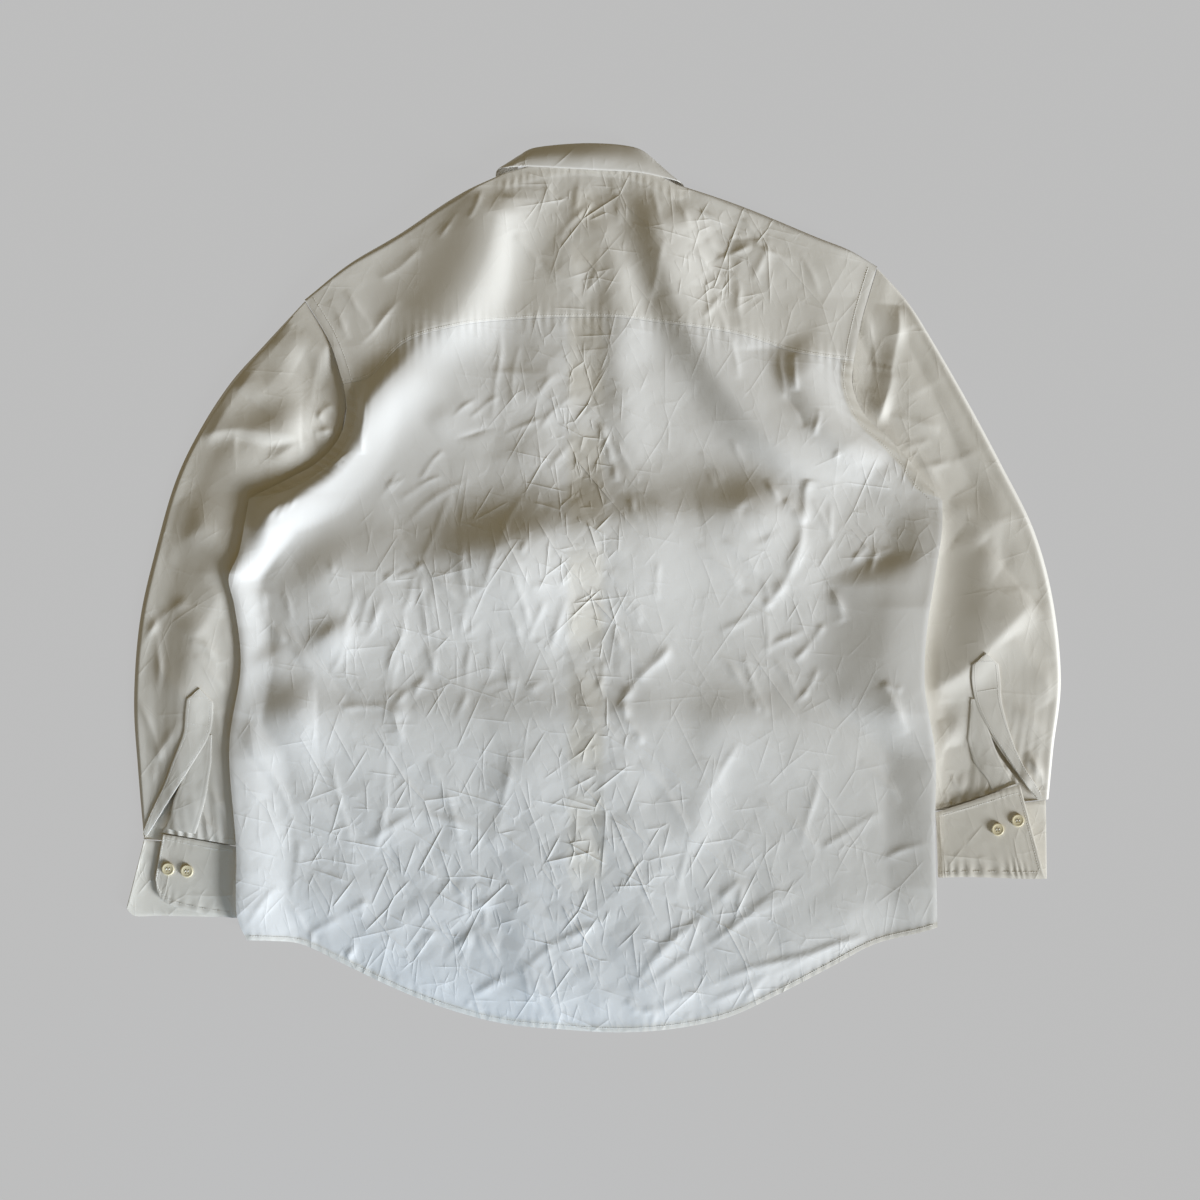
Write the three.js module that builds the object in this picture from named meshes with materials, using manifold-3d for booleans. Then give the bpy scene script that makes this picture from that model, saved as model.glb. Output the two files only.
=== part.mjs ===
// A long-sleeved cotton shirt that lies face down on a flat surface, with its back up,
// its collar folded down and both cuffs undone. Millimetres, +Z up, +Y towards the collar.
// The wearer's left is at -X. The origin is the middle of the shirt's underside.
import * as THREE from 'three'
import Module from 'manifold-3d'
import { mergeVertices } from 'three/addons/utils/BufferGeometryUtils.js'

// ---------------------------------------------------------------- driving dimensions
const CLOTH = 1.0            // wall of each single layer of cloth
const CUFF_CLOTH = 1.5       // wall of a cuff, which is two layers and an interlining
const LEAF_CLOTH = 1.2       // wall of the collar leaf, which has an interlining too
const SEAM = 0.8             // gap in plan between two panels sewn edge to edge
const PLY = 0.3              // gap between two layers that lie on each other
const LAID = 0.5             // gap between a sleeve and a placket that lies on it
const SLEEVE_PRESSED = 2.8   // height of a sleeve where the body lies on it
const SLEEVE_EDGE = 1.3      // height of a sleeve's folded edge
const SLEEVE_ROUND = 2.6     // how soon a sleeve's section opens to full height past its edge
const SLEEVE_SEWN = 1.4      // how far a sleeve stands over the yoke's edge where it is sewn to it
const SLEEVE_FREE = { from: 26, to: 72 } // distance outside the body where a sleeve fills out
const PROBES = 8             // places round a point where a carrying surface is measured
const STRIP_PROBE = 3        // how far round its points a laid strip clears the sleeve
const BUTTON = { radius: 5.7, thick: 2.4, dish: 0.7, rim: 1.7 }
const BAND = { middle: -3.5, width: 35 }
const FRONT_BUTTONS = { count: 7, top: 262, pitch: 92 }
const SHOULDER_WRAP = 32     // how far the yoke reaches round to the front
const SHOULDER_TURN = 7      // room for the yoke's turn over the shoulder
const NECK_CLEAR = 4.8       // how far a front's neck edge stays from the stand's
const FRONT_HEM_RISE = 7     // the front's tail is this much shorter than the back's

// How high the body's lowest layer is carried by what lies below it.
const LIFT = {
  sleeve: { height: 3.1, full: 45, none: 95 },
  leftPlacket: { height: 4.0, full: 48, none: 110 },
  rightPlacket: { height: 5.3, full: 48, none: 110 },
  collar: { height: 2.7, full: 105, none: 160, from: 215, to: 265 },
}
const BACK = { edge: 5.4, band: 2.4, shoulder: 2.2, crown: 3.5, crownWidth: 45, neckShare: 0.35, neckWidth: 45 }

// Numbers of cells of each panel's grid.
const CELLS = {
  body: { across: 28, back: 28, yoke: 8, fold: 4, wrap: 2 },
  front: { across: 10, along: 17 },
  sleeve: { along: 18, around: 24 },
  cuff: { along: 24, across: 4 },
  leaf: { along: 30, across: 5 },
  stand: { along: 24, across: 2 },
  placket: { along: 10, across: 3 },
  band: { along: 12, across: 2 },
  button: 12,
}

// ---------------------------------------------------------------- outline, seen from above
const HEM = [
  { x: -345.5, y: -351.5 }, { x: -323, y: -352.5 }, { x: -293, y: -356.5 }, { x: -247, y: -378 },
  { x: -193, y: -403.5 }, { x: -143, y: -422.5 }, { x: -93, y: -435.5 }, { x: -33, y: -441.5 },
  { x: 26, y: -444.5 }, { x: 86, y: -440.5 }, { x: 136, y: -429.5 }, { x: 186, y: -406.5 },
  { x: 236, y: -380.5 }, { x: 281, y: -357 }, { x: 326, y: -345 }, { x: 343.5, y: -339.5 },
]
const YOKE_SEAM = [
  { x: -249.5, y: 203.5 }, { x: -223, y: 210 }, { x: -190, y: 243 }, { x: -141, y: 258.5 },
  { x: -92, y: 266.5 }, { x: 26, y: 268.5 }, { x: 86, y: 260.5 }, { x: 146, y: 251.5 },
  { x: 206, y: 233.5 }, { x: 259.5, y: 226.5 },
]
const NECK = [
  { x: -88, y: 414 }, { x: -48, y: 424 }, { x: -4, y: 427 }, { x: 44, y: 421 }, { x: 83, y: 402 },
]
const SIDES = {
  left: {
    shoulder: [
      { x: -288.5, y: 287.5 }, { x: -243, y: 323.5 }, { x: -193, y: 353.5 }, { x: -143, y: 386.5 },
      { x: -88, y: 414 },
    ],
    yokeArmhole: [{ x: -249.5, y: 203.5 }, { x: -263.5, y: 245.5 }, { x: -288.5, y: 287.5 }],
    backArmhole: [
      { x: -343.5, y: 89.5 }, { x: -303.5, y: 109.5 }, { x: -275.5, y: 125.5 }, { x: -254, y: 150 },
      { x: -246.5, y: 177.5 }, { x: -249.5, y: 203.5 },
    ],
    side: [
      { x: -345.5, y: -351.5 }, { x: -354.5, y: -329 }, { x: -355.5, y: -262 }, { x: -362.5, y: -154 },
      { x: -351.5, y: -77 }, { x: -357.5, y: -17 }, { x: -362.5, y: 9.5 }, { x: -352.5, y: 34.5 },
      { x: -343.5, y: 89.5 },
    ],
    // A row for each ring of the sleeve, from the armhole to the cuff: the two ends of the
    // flattened ring, how much of the armhole's bow it keeps, and how far its top stands up.
    sleeve: [
      { outX: -289, outY: 287.5, inX: -246.5, inY: 177.5, bow: 1, puff: 8 },
      { outX: -331.5, outY: 241.5, inX: -253, inY: 138, bow: 0.6, puff: 12 },
      { outX: -363.5, outY: 205.5, inX: -260, inY: 98, bow: 0.42, puff: 14 },
      { outX: -393.5, outY: 159.5, inX: -266, inY: 52, bow: 0.3, puff: 15 },
      { outX: -418.5, outY: 107.5, inX: -270, inY: 8, bow: 0.2, puff: 16 },
      { outX: -437.5, outY: 42.5, inX: -272, inY: -40, bow: 0.12, puff: 16 },
      { outX: -454.5, outY: -32.5, inX: -277, inY: -95, bow: 0.06, puff: 16 },
      { outX: -460.5, outY: -112.5, inX: -289, inY: -152, bow: 0.03, puff: 14 },
      { outX: -456.5, outY: -182.5, inX: -311, inY: -207, bow: 0, puff: 10 },
      { outX: -450.5, outY: -252, inX: -343.5, inY: -260, bow: 0, puff: 6.5 },
    ],
    // The opening in the sleeve's top layer: the slit, and the edge that the cuff is sewn to.
    slit: [
      { x: -386, y: -153 }, { x: -413, y: -207 }, { x: -431.5, y: -245 }, { x: -378, y: -254 },
      { x: -335, y: -261 }, { x: -335, y: -290 }, { x: -465, y: -290 }, { x: -452, y: -253 },
      { x: -432, y: -226 }, { x: -404, y: -182 },
    ],
    // A row for each section of the strip: its outer edge and the edge along the slit.
    tower: [
      { outX: -397, outY: -102, inX: -388, inY: -104 }, { outX: -405.5, outY: -111, inX: -379.5, inY: -114.5 },
      { outX: -407.5, outY: -128, inX: -380.5, inY: -133 }, { outX: -409.5, outY: -146, inX: -385, inY: -151 },
      { outX: -420, outY: -172, inX: -402, inY: -179 }, { outX: -430, outY: -198, inX: -415, inY: -199 },
      { outX: -438, outY: -217, inX: -427.5, inY: -218 },
    ],
    under: [
      { outX: -397.5, outY: -181, inX: -382.5, inY: -177 }, { outX: -409, outY: -202, inX: -385, inY: -197 },
      { outX: -415, outY: -215, inX: -388, inY: -213 }, { outX: -421.5, outY: -229, inX: -392, inY: -229 },
      { outX: -427, outY: -241, inX: -398, inY: -246 },
    ],
    // A row for each section of the cuff: its sewn edge, its lower edge and its height,
    // from the button end over the top, round the fold and back under to the buttonhole end.
    cuff: [
      { seamX: -431, seamY: -247, edgeX: -439, edgeY: -292, z: 4.4 },
      { seamX: -421, seamY: -248.5, edgeX: -434, edgeY: -310, z: 4.8 },
      { seamX: -408, seamY: -250.5, edgeX: -421, edgeY: -318.5, z: 5.2 },
      { seamX: -388, seamY: -254, edgeX: -394, edgeY: -325.5, z: 5.6 },
      { seamX: -365, seamY: -258, edgeX: -365, edgeY: -330, z: 4.8 },
      { seamX: -359.5, seamY: -259, edgeX: -359, edgeY: -330.5, z: 3.9 },
      { seamX: -357.7, seamY: -259.4, edgeX: -357.2, edgeY: -330.7, z: 2.4 },
      { seamX: -359.5, seamY: -259.6, edgeX: -359, edgeY: -330.5, z: 1.1 },
      { seamX: -365, seamY: -259.2, edgeX: -365, edgeY: -330, z: 0.75 },
      { seamX: -388, seamY: -257.5, edgeX: -394, edgeY: -330, z: 0.75 },
      { seamX: -421, seamY: -255, edgeX: -433, edgeY: -329, z: 0.75 },
      { seamX: -444, seamY: -253.3, edgeX: -459, edgeY: -329, z: 0.75 },
      { seamX: -450, seamY: -252.8, edgeX: -467.5, edgeY: -321, z: 0.75 },
    ],
    buttons: [{ x: -425.5, y: -281.5 }, { x: -406.5, y: -283.5 }],
  },
  right: {
    shoulder: [
      { x: 283.5, y: 320.5 }, { x: 256, y: 336.5 }, { x: 226, y: 348.5 }, { x: 186, y: 365.5 },
      { x: 146, y: 381.5 }, { x: 83, y: 402 },
    ],
    yokeArmhole: [{ x: 259.5, y: 226.5 }, { x: 268.5, y: 269.5 }, { x: 283.5, y: 320.5 }],
    backArmhole: [
      { x: 348.5, y: 87.5 }, { x: 328.5, y: 107.5 }, { x: 313.5, y: 129.5 }, { x: 296.5, y: 147.5 },
      { x: 269.5, y: 174.5 }, { x: 258.5, y: 202.5 }, { x: 259.5, y: 226.5 },
    ],
    side: [
      { x: 343.5, y: -339.5 }, { x: 340.5, y: -242 }, { x: 340.5, y: -167 }, { x: 329.5, y: -100 },
      { x: 331.5, y: -42 }, { x: 340.5, y: 15.5 }, { x: 347.5, y: 57.5 }, { x: 348.5, y: 87.5 },
    ],
    sleeve: [
      { outX: 286, outY: 320.5, inX: 258.5, inY: 202.5, bow: 1, puff: 8 },
      { outX: 316.5, outY: 285.5, inX: 264, inY: 158, bow: 0.6, puff: 12 },
      { outX: 344.5, outY: 240.5, inX: 270, inY: 112, bow: 0.42, puff: 14 },
      { outX: 376.5, outY: 184.5, inX: 274, inY: 66, bow: 0.3, puff: 15 },
      { outX: 409.5, outY: 122.5, inX: 276, inY: 20, bow: 0.2, puff: 16 },
      { outX: 441.5, outY: 57.5, inX: 279, inY: -28, bow: 0.12, puff: 17 },
      { outX: 460.5, outY: -12.5, inX: 284, inY: -78, bow: 0.06, puff: 17 },
      { outX: 468.5, outY: -92.5, inX: 297, inY: -132, bow: 0.03, puff: 14 },
      { outX: 461, outY: -160, inX: 318, inY: -180, bow: 0, puff: 10 },
      { outX: 456, outY: -212, inX: 342.5, inY: -224, bow: 0, puff: 6.5 },
    ],
    slit: [
      { x: 390.5, y: -138 }, { x: 406, y: -169 }, { x: 425.5, y: -195 }, { x: 382, y: -211.5 },
      { x: 335, y: -225 }, { x: 335, y: -250 }, { x: 475, y: -250 }, { x: 446, y: -214 },
      { x: 428, y: -192 }, { x: 410, y: -167 },
    ],
    tower: [
      { outX: 397, outY: -69, inX: 386, inY: -69 }, { outX: 404.5, outY: -77, inX: 377.5, inY: -77 },
      { outX: 406.5, outY: -93, inX: 378, inY: -95 }, { outX: 407.5, outY: -112, inX: 384, inY: -121 },
      { outX: 413, outY: -135, inX: 396, inY: -143 }, { outX: 421.5, outY: -160, inX: 410.5, inY: -165 },
      { outX: 431, outY: -183, inX: 424, inY: -185 },
    ],
    under: [
      { outX: 383.5, outY: -139, inX: 373.5, inY: -147 }, { outX: 391.5, outY: -155, inX: 377, inY: -160 },
      { outX: 401.5, outY: -172, inX: 383.5, inY: -176 }, { outX: 410, outY: -184, inX: 389, inY: -190 },
      { outX: 417, outY: -193, inX: 396, inY: -202 },
    ],
    cuff: [
      { seamX: 426, seamY: -197, edgeX: 451, edgeY: -291, z: 4.4 },
      { seamX: 412, seamY: -201, edgeX: 432, edgeY: -291, z: 4.8 },
      { seamX: 398, seamY: -206.2, edgeX: 414, edgeY: -290.5, z: 5.2 },
      { seamX: 372, seamY: -215.3, edgeX: 378, edgeY: -289.5, z: 5.6 },
      { seamX: 350, seamY: -222.5, edgeX: 354, edgeY: -290, z: 5.3 },
      { seamX: 345.2, seamY: -224.2, edgeX: 348.2, edgeY: -290.3, z: 4.6 },
      { seamX: 343, seamY: -224.8, edgeX: 346, edgeY: -290.4, z: 2.9 },
      { seamX: 345.2, seamY: -224.6, edgeX: 348.2, edgeY: -290.3, z: 1.2 },
      { seamX: 350, seamY: -224, edgeX: 354, edgeY: -290.2, z: 0.75 },
      { seamX: 384, seamY: -220.4, edgeX: 390, edgeY: -290, z: 0.75 },
      { seamX: 420, seamY: -216.6, edgeX: 428, edgeY: -291, z: 0.75 },
      { seamX: 453.5, seamY: -213, edgeX: 454.5, edgeY: -292, z: 0.75 },
    ],
    buttons: [{ x: 423.5, y: -232.5 }, { x: 403.5, y: -241.5 }],
  },
}

// The collar leaf's free edge and fold, from its left point under the shirt, round the back
// of the neck, to its right point. arch is how far the leaf's middle stands up between them.
const LEAF = [
  { edgeX: -53, edgeY: 288, edgeZ: 0.6, foldX: -11, foldY: 356, foldZ: 0.6, arch: 0 },
  { edgeX: -82, edgeY: 345, edgeZ: 0.6, foldX: -48, foldY: 384, foldZ: 0.6, arch: 0 },
  { edgeX: -95, edgeY: 392, edgeZ: 0.6, foldX: -74, foldY: 412, foldZ: 0.6, arch: 0 },
  { edgeX: -98, edgeY: 412, edgeZ: 1.6, foldX: -81, foldY: 424, foldZ: 1.6, arch: 0 },
  { edgeX: -95, edgeY: 418, edgeZ: 6, foldX: -80, foldY: 427.5, foldZ: 4.5, arch: 0 },
  { edgeX: -88, edgeY: 418.5, edgeZ: 10.5, foldX: -73, foldY: 432.5, foldZ: 6, arch: 2 },
  { edgeX: -64, edgeY: 419.5, edgeZ: 12, foldX: -56, foldY: 440, foldZ: 7, arch: 5 },
  { edgeX: -4, edgeY: 416, edgeZ: 13, foldX: -4, foldY: 443.8, foldZ: 8, arch: 8 },
  { edgeX: 44, edgeY: 413.5, edgeZ: 12, foldX: 42, foldY: 439.5, foldZ: 7, arch: 6 },
  { edgeX: 78, edgeY: 407, edgeZ: 10.5, foldX: 64, foldY: 424.5, foldZ: 6, arch: 2 },
  { edgeX: 88, edgeY: 404, edgeZ: 6, foldX: 73, foldY: 415, foldZ: 4.5, arch: 0 },
  { edgeX: 91, edgeY: 398, edgeZ: 1.6, foldX: 76, foldY: 411, foldZ: 1.6, arch: 0 },
  { edgeX: 88, edgeY: 380, edgeZ: 0.6, foldX: 68, foldY: 400, foldZ: 0.6, arch: 0 },
  { edgeX: 75, edgeY: 338, edgeZ: 0.6, foldX: 42, foldY: 380, foldZ: 0.6, arch: 0 },
  { edgeX: 50, edgeY: 285, edgeZ: 0.6, foldX: 5, foldY: 356, foldZ: 0.6, arch: 0 },
]
const STAND = [
  { edgeX: -10, edgeY: 328, edgeZ: 3.2, foldX: -10, foldY: 353, foldZ: 3.2, arch: 0 },
  { edgeX: -46, edgeY: 350, edgeZ: 3.2, foldX: -38, foldY: 374, foldZ: 3.2, arch: 0 },
  { edgeX: -72, edgeY: 383, edgeZ: 3.2, foldX: -63, foldY: 400, foldZ: 3.2, arch: 0 },
  { edgeX: -82, edgeY: 414, edgeZ: 3.2, foldX: -76, foldY: 422, foldZ: 3.2, arch: 0 },
  { edgeX: -73, edgeY: 422, edgeZ: 6.4, foldX: -69, foldY: 430, foldZ: 5.8, arch: 0 },
  { edgeX: -48, edgeY: 427, edgeZ: 7.4, foldX: -50, foldY: 439.2, foldZ: 5.6, arch: 0 },
  { edgeX: -4, edgeY: 429, edgeZ: 7.8, foldX: -4, foldY: 443.2, foldZ: 6.4, arch: 0 },
  { edgeX: 42, edgeY: 424, edgeZ: 7.4, foldX: 39, foldY: 438, foldZ: 5.6, arch: 0 },
  { edgeX: 69, edgeY: 411, edgeZ: 6.4, foldX: 61, foldY: 421, foldZ: 5.8, arch: 0 },
  { edgeX: 78, edgeY: 402, edgeZ: 3.2, foldX: 69, foldY: 411, foldZ: 3.2, arch: 0 },
  { edgeX: 66, edgeY: 377, edgeZ: 3.2, foldX: 57, foldY: 394, foldZ: 3.2, arch: 0 },
  { edgeX: 40, edgeY: 350, edgeZ: 3.2, foldX: 32, foldY: 374, foldZ: 3.2, arch: 0 },
  { edgeX: 4, edgeY: 328, edgeZ: 3.2, foldX: 4, foldY: 353, foldZ: 3.2, arch: 0 },
]
const COLLAR_BUTTON = { x: 9, y: 337 }

// The body's largest folds: the crest runs from (x0, y0) to (x1, y1) and bows by bend to its
// left; it stands up by height, falls away over left and right, and leans by lean to its right.
const BODY_FOLDS = [
  { x0: -100, y0: 405, x1: -206, y1: 214, bend: 30, height: 11, left: 62, right: 62, lean: 0 },
  { x0: -188, y0: 238, x1: -352, y1: 40, bend: 0, height: 11, left: 64, right: 20, lean: 5 },
  { x0: -8, y0: 380, x1: 46, y1: 236, bend: 4, height: 4, left: 22, right: 46, lean: 0 },
  { x0: 52, y0: 398, x1: 156, y1: 184, bend: -8, height: 8, left: 62, right: 44, lean: 0 },
  { x0: -300, y0: -8, x1: 250, y1: -4, bend: 46, height: 8, left: 52, right: 80, lean: 0 },
  { x0: -230, y0: -150, x1: 190, y1: -134, bend: 10, height: 5, left: 46, right: 62, lean: 0 },
  { x0: -350, y0: -150, x1: -240, y1: -158, bend: -8, height: 4, left: 50, right: 40, lean: 0 },
  { x0: 226, y0: 152, x1: 286, y1: 112, bend: 4, height: 5, left: 16, right: 26, lean: 0 },
  { x0: 150, y0: -110, x1: 70, y1: -280, bend: -10, height: 5, left: 46, right: 40, lean: 0 },
  { x0: 232, y0: -8, x1: 344, y1: 44, bend: 6, height: 6, left: 34, right: 40, lean: 0 },
  { x0: 246, y0: -120, x1: 330, y1: -100, bend: 4, height: 5, left: 40, right: 44, lean: 0 },
  { x0: 326, y0: -210, x1: 322, y1: -338, bend: 2, height: 4, left: 26, right: 20, lean: 0 },
]

// ---------------------------------------------------------------- small helpers
const clamp = (value, low, high) => Math.min(high, Math.max(low, value))
const lerp = (a, b, t) => a + (b - a) * t
const smooth = (low, high, value) => {
  const t = clamp((value - low) / (high - low), 0, 1)
  return t * t * (3 - 2 * t)
}
const range = (count) => Array.from({ length: count + 1 }, (_, i) => i / count)

/** A smooth curve through the rows of a table, by arc length. */
function curve(rows) {
  const line = new THREE.CatmullRomCurve3(rows.map((row) => new THREE.Vector3(row.x, row.y, 0)))
  return (t) => line.getPointAt(clamp(t, 0, 1))
}

/** One column of a table at s from 0 to 1, carried smoothly through its rows. */
function along(rows, column, s) {
  const place = clamp(s, 0, 1) * (rows.length - 1)
  const i = Math.min(Math.floor(place), rows.length - 2)
  const [a, b, c, d] = [i - 1, i, i + 1, i + 2].map((k) => rows[clamp(k, 0, rows.length - 1)][column])
  const t = place - i
  const slopeIn = (c - a) / 2
  const slopeOut = (d - b) / 2
  const rise = c - b
  return b + slopeIn * t + (3 * rise - 2 * slopeIn - slopeOut) * t * t + (slopeIn + slopeOut - 2 * rise) * t * t * t
}

/** The point of a line at t, moved by a distance to the line's left. */
function beside(line, t, by) {
  const step = line(Math.min(t + 0.01, 1)).sub(line(Math.max(t - 0.01, 0))).normalize()
  return line(t).add(new THREE.Vector3(-step.y * by, step.x * by, 0))
}

/** Nearest distance from a place to a line of points, positive on the line's left. */
function distanceTo(line, x, y) {
  let nearest = Infinity
  let side = 1
  for (let i = 1; i < line.length; i++) {
    const a = line[i - 1]
    const dx = line[i].x - a.x
    const dy = line[i].y - a.y
    const t = clamp(((x - a.x) * dx + (y - a.y) * dy) / (dx * dx + dy * dy), 0, 1)
    const gap = Math.hypot(x - a.x - dx * t, y - a.y - dy * t)
    if (gap < nearest) {
      nearest = gap
      side = Math.sign(dx * (y - a.y) - dy * (x - a.x)) || 1
    }
  }
  return nearest * side
}

/** A closed solid between two grids of points with the same layout; around closes the columns. */
function between(upper, lower, around = false) {
  const rows = upper.length
  const columns = upper[0].length
  const positions = [...upper.flat(), ...lower.flat()].flatMap((p) => [p.x, p.y, p.z])
  const faces = []
  const quad = (a, b, c, d) => faces.push(a, b, c, a, c, d)
  const top = (i, j) => i * columns + (j % columns)
  const bottom = (i, j) => rows * columns + top(i, j)
  const last = around ? columns : columns - 1
  for (let i = 0; i + 1 < rows; i++) {
    for (let j = 0; j < last; j++) {
      quad(top(i, j), top(i, j + 1), top(i + 1, j + 1), top(i + 1, j))
      quad(bottom(i, j), bottom(i + 1, j), bottom(i + 1, j + 1), bottom(i, j + 1))
    }
    if (!around) {
      quad(top(i, 0), top(i + 1, 0), bottom(i + 1, 0), bottom(i, 0))
      quad(top(i + 1, last), top(i, last), bottom(i, last), bottom(i + 1, last))
    }
  }
  for (let j = 0; j < last; j++) {
    quad(top(0, j + 1), top(0, j), bottom(0, j), bottom(0, j + 1))
    quad(top(rows - 1, j), top(rows - 1, j + 1), bottom(rows - 1, j + 1), bottom(rows - 1, j))
  }
  return facingOut(positions, faces)
}

/** The geometry of a closed body, with its faces turned to point out. */
function facingOut(positions, faces) {
  let volume = 0
  const at = (i) => new THREE.Vector3(...positions.slice(3 * i, 3 * i + 3))
  for (let i = 0; i < faces.length; i += 3) {
    volume += at(faces[i]).dot(at(faces[i + 1]).cross(at(faces[i + 2])))
  }
  const geometry = new THREE.BufferGeometry()
  geometry.setAttribute('position', new THREE.Float32BufferAttribute(positions, 3))
  geometry.setIndex(volume > 0 ? faces : faces.map((_, i) => faces[i - (i % 3) + [0, 2, 1][i % 3]]))
  return geometry
}

/** A wall of the given thickness around a grid of points that are its middle surface. */
function wall(grid, thickness) {
  const half = thickness / 2
  const normals = grid.map((row, i) => row.map((_, j) => {
    const down = grid[Math.min(i + 1, grid.length - 1)][j].clone().sub(grid[Math.max(i - 1, 0)][j])
    const across = row[Math.min(j + 1, row.length - 1)].clone().sub(row[Math.max(j - 1, 0)])
    return down.cross(across).normalize()
  }))
  const moved = (step) => grid.map((row, i) => row.map((p, j) => p.clone().addScaledVector(normals[i][j], step)))
  return between(moved(half), moved(-half))
}

/** A flat-lying wall whose top is the grid, with its thickness straight down. */
function slab(grid, thickness) {
  return between(grid, grid.map((row) => row.map((p) => new THREE.Vector3(p.x, p.y, p.z - thickness))))
}

// ---------------------------------------------------------------- the body's lines
const hemLine = curve(HEM)
const neckLine = curve(NECK)
const seamLine = curve(YOKE_SEAM)
const lines = {}
for (const [name, side] of Object.entries(SIDES)) {
  const parts = {
    side: curve(side.side),
    backArmhole: curve(side.backArmhole),
    yokeArmhole: curve(side.yokeArmhole),
    shoulder: curve(side.shoulder),
  }
  const sampled = (line, count) => range(count).map(line)
  parts.edge = [
    ...sampled(parts.side, 40), ...sampled(parts.backArmhole, 24).slice(1),
    ...sampled(parts.yokeArmhole, 12).slice(1),
  ]
  // The armhole from the shoulder down to the underarm. The sleeve's first ring follows the
  // upper part of it, and the rest of the sleeve's cap lies under the body.
  const armholeRows = [...side.yokeArmhole.slice().reverse(), ...side.backArmhole.slice(0, -1).reverse()]
  parts.armhole = curve(armholeRows)
  parts.cap = curve(armholeRows.slice(0, 4))
  lines[name] = parts
}
const outline = [lines.left.edge, lines.right.edge, range(60).map(hemLine)]
const neckPoints = range(16).map(neckLine)

const UNDERARM = 0.68        // the share of the body's rows that lie below the underarm
const FRONT_UNDERARM = 0.58  // the share of a front's rows that lie below the underarm
const FRONT_ARMHOLE = 0.84   // the share of the armhole that a front reaches up to
const FRONT_SHOULDER = 0.55  // the share of a front's columns that meet the yoke
const NECK_FROM = 0.36       // the shares of the yoke's columns where the neck starts and ends
const NECK_TO = 0.66
const NECK_BLEND = 0.12      // the share over which the yoke's wrap runs out beside the neck
const NECK_WRAP = { radius: 1.2, reach: 3 } // the yoke's turned edge along the neck seam

/** The body's long edge at v from the hem, 0, to the yoke seam, 1. */
function bodySide(name, v) {
  const { side, backArmhole } = lines[name]
  return v < UNDERARM ? side(v / UNDERARM) : backArmhole((v - UNDERARM) / (1 - UNDERARM))
}

/** The yoke's far edge at u: left shoulder, neck, right shoulder. */
function yokeTop(u) {
  if (u <= NECK_FROM) return lines.left.shoulder(u / NECK_FROM)
  if (u < NECK_TO) return neckLine((u - NECK_FROM) / (NECK_TO - NECK_FROM))
  return lines.right.shoulder((1 - u) / (1 - NECK_TO))
}

/** A place in the patch that four edges bound: low and high over u, left and right over v. */
function patch(low, high, left, right, u, v) {
  const corner = (a, b, c, d) => a * (1 - u) * (1 - v) + b * u * (1 - v) + c * (1 - u) * v + d * u * v
  const at = (axis) => lerp(low(u)[axis], high(u)[axis], v) + lerp(left(v)[axis], right(v)[axis], u)
    - corner(low(0)[axis], low(1)[axis], high(0)[axis], high(1)[axis])
  return new THREE.Vector3(at('x'), at('y'), 0)
}

// ---------------------------------------------------------------- heights
/** How far one fold raises a place, and which way it pulls the cloth. */
function foldAt(fold, x, y) {
  const dx = fold.x1 - fold.x0
  const dy = fold.y1 - fold.y0
  const length = Math.hypot(dx, dy)
  const s = ((x - fold.x0) * dx + (y - fold.y0) * dy) / (length * length)
  const inside = clamp(s, 0, 1)
  const across = (dx * (y - fold.y0) - dy * (x - fold.x0)) / length - fold.bend * 4 * inside * (1 - inside)
  const past = (s - inside) * length
  const width = across > 0 ? fold.left : fold.right
  const share = Math.exp(-((across / width) ** 2) * 2.2 - (past / fold.right) ** 2) * smooth(-0.12, 0.2, s) * smooth(-0.12, 0.2, 1 - s)
  return { rise: fold.height * share, pull: fold.lean * share, nx: dy / length, ny: -dx / length }
}

/** Distance from a place inside the body to its nearest outer edge. */
const depthIn = (x, y) => Math.min(...outline.map((line) => Math.abs(distanceTo(line, x, y))))

const bandShare = (x, { full, none }) => 1 - smooth(full, none, Math.abs(x - BAND.middle))

/** Height of the back and yoke's upper face. */
function bodyTop(x, y) {
  const depth = depthIn(x, y)
  const free = smooth(0, BACK.crownWidth, depth)
  const folds = BODY_FOLDS.reduce((sum, fold) => sum + foldAt(fold, x, y).rise, 0)
  const neck = lerp(BACK.neckShare, 1, smooth(8, BACK.neckWidth, Math.abs(distanceTo(neckPoints, x, y))))
  const level = BACK.band * bandShare(x, LIFT.rightPlacket) + BACK.shoulder * smooth(120, 220, y)
  return BACK.edge + (level + free * BACK.crown + folds * smooth(0, 26, depth)) * neck
}

/** The same face with the cloth pulled over where a fold leans. */
function bodyPoint(p) {
  const top = new THREE.Vector3(p.x, p.y, bodyTop(p.x, p.y))
  const hold = smooth(8, 30, depthIn(p.x, p.y))
  for (const fold of BODY_FOLDS) {
    const { pull, nx, ny } = foldAt(fold, p.x, p.y)
    top.x += pull * nx * hold
    top.y += pull * ny * hold
  }
  return top
}

// ---------------------------------------------------------------- sleeves
/** A place on the flattened sleeve: s from armhole to cuff, t from its outer to its inner edge. */
function sleevePlan(name, s, t) {
  const rows = SIDES[name].sleeve
  const value = (column) => along(rows, column, s)
  const first = rows[0]
  const armhole = beside(lines[name].cap, t, name === 'left' ? -SEAM : SEAM)
  const bowX = armhole.x - lerp(first.outX, first.inX, t)
  const bowY = armhole.y - lerp(first.outY, first.inY, t)
  const bow = value('bow')
  return {
    x: lerp(value('outX'), value('inX'), t) + bowX * bow,
    y: lerp(value('outY'), value('inY'), t) + bowY * bow,
  }
}

/** Distance of a place outside the body's edge; negative where the body covers it. */
const outsideBody = (name, x, y) => distanceTo(lines[name].edge, x, y) * (name === 'left' ? 1 : -1)

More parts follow.
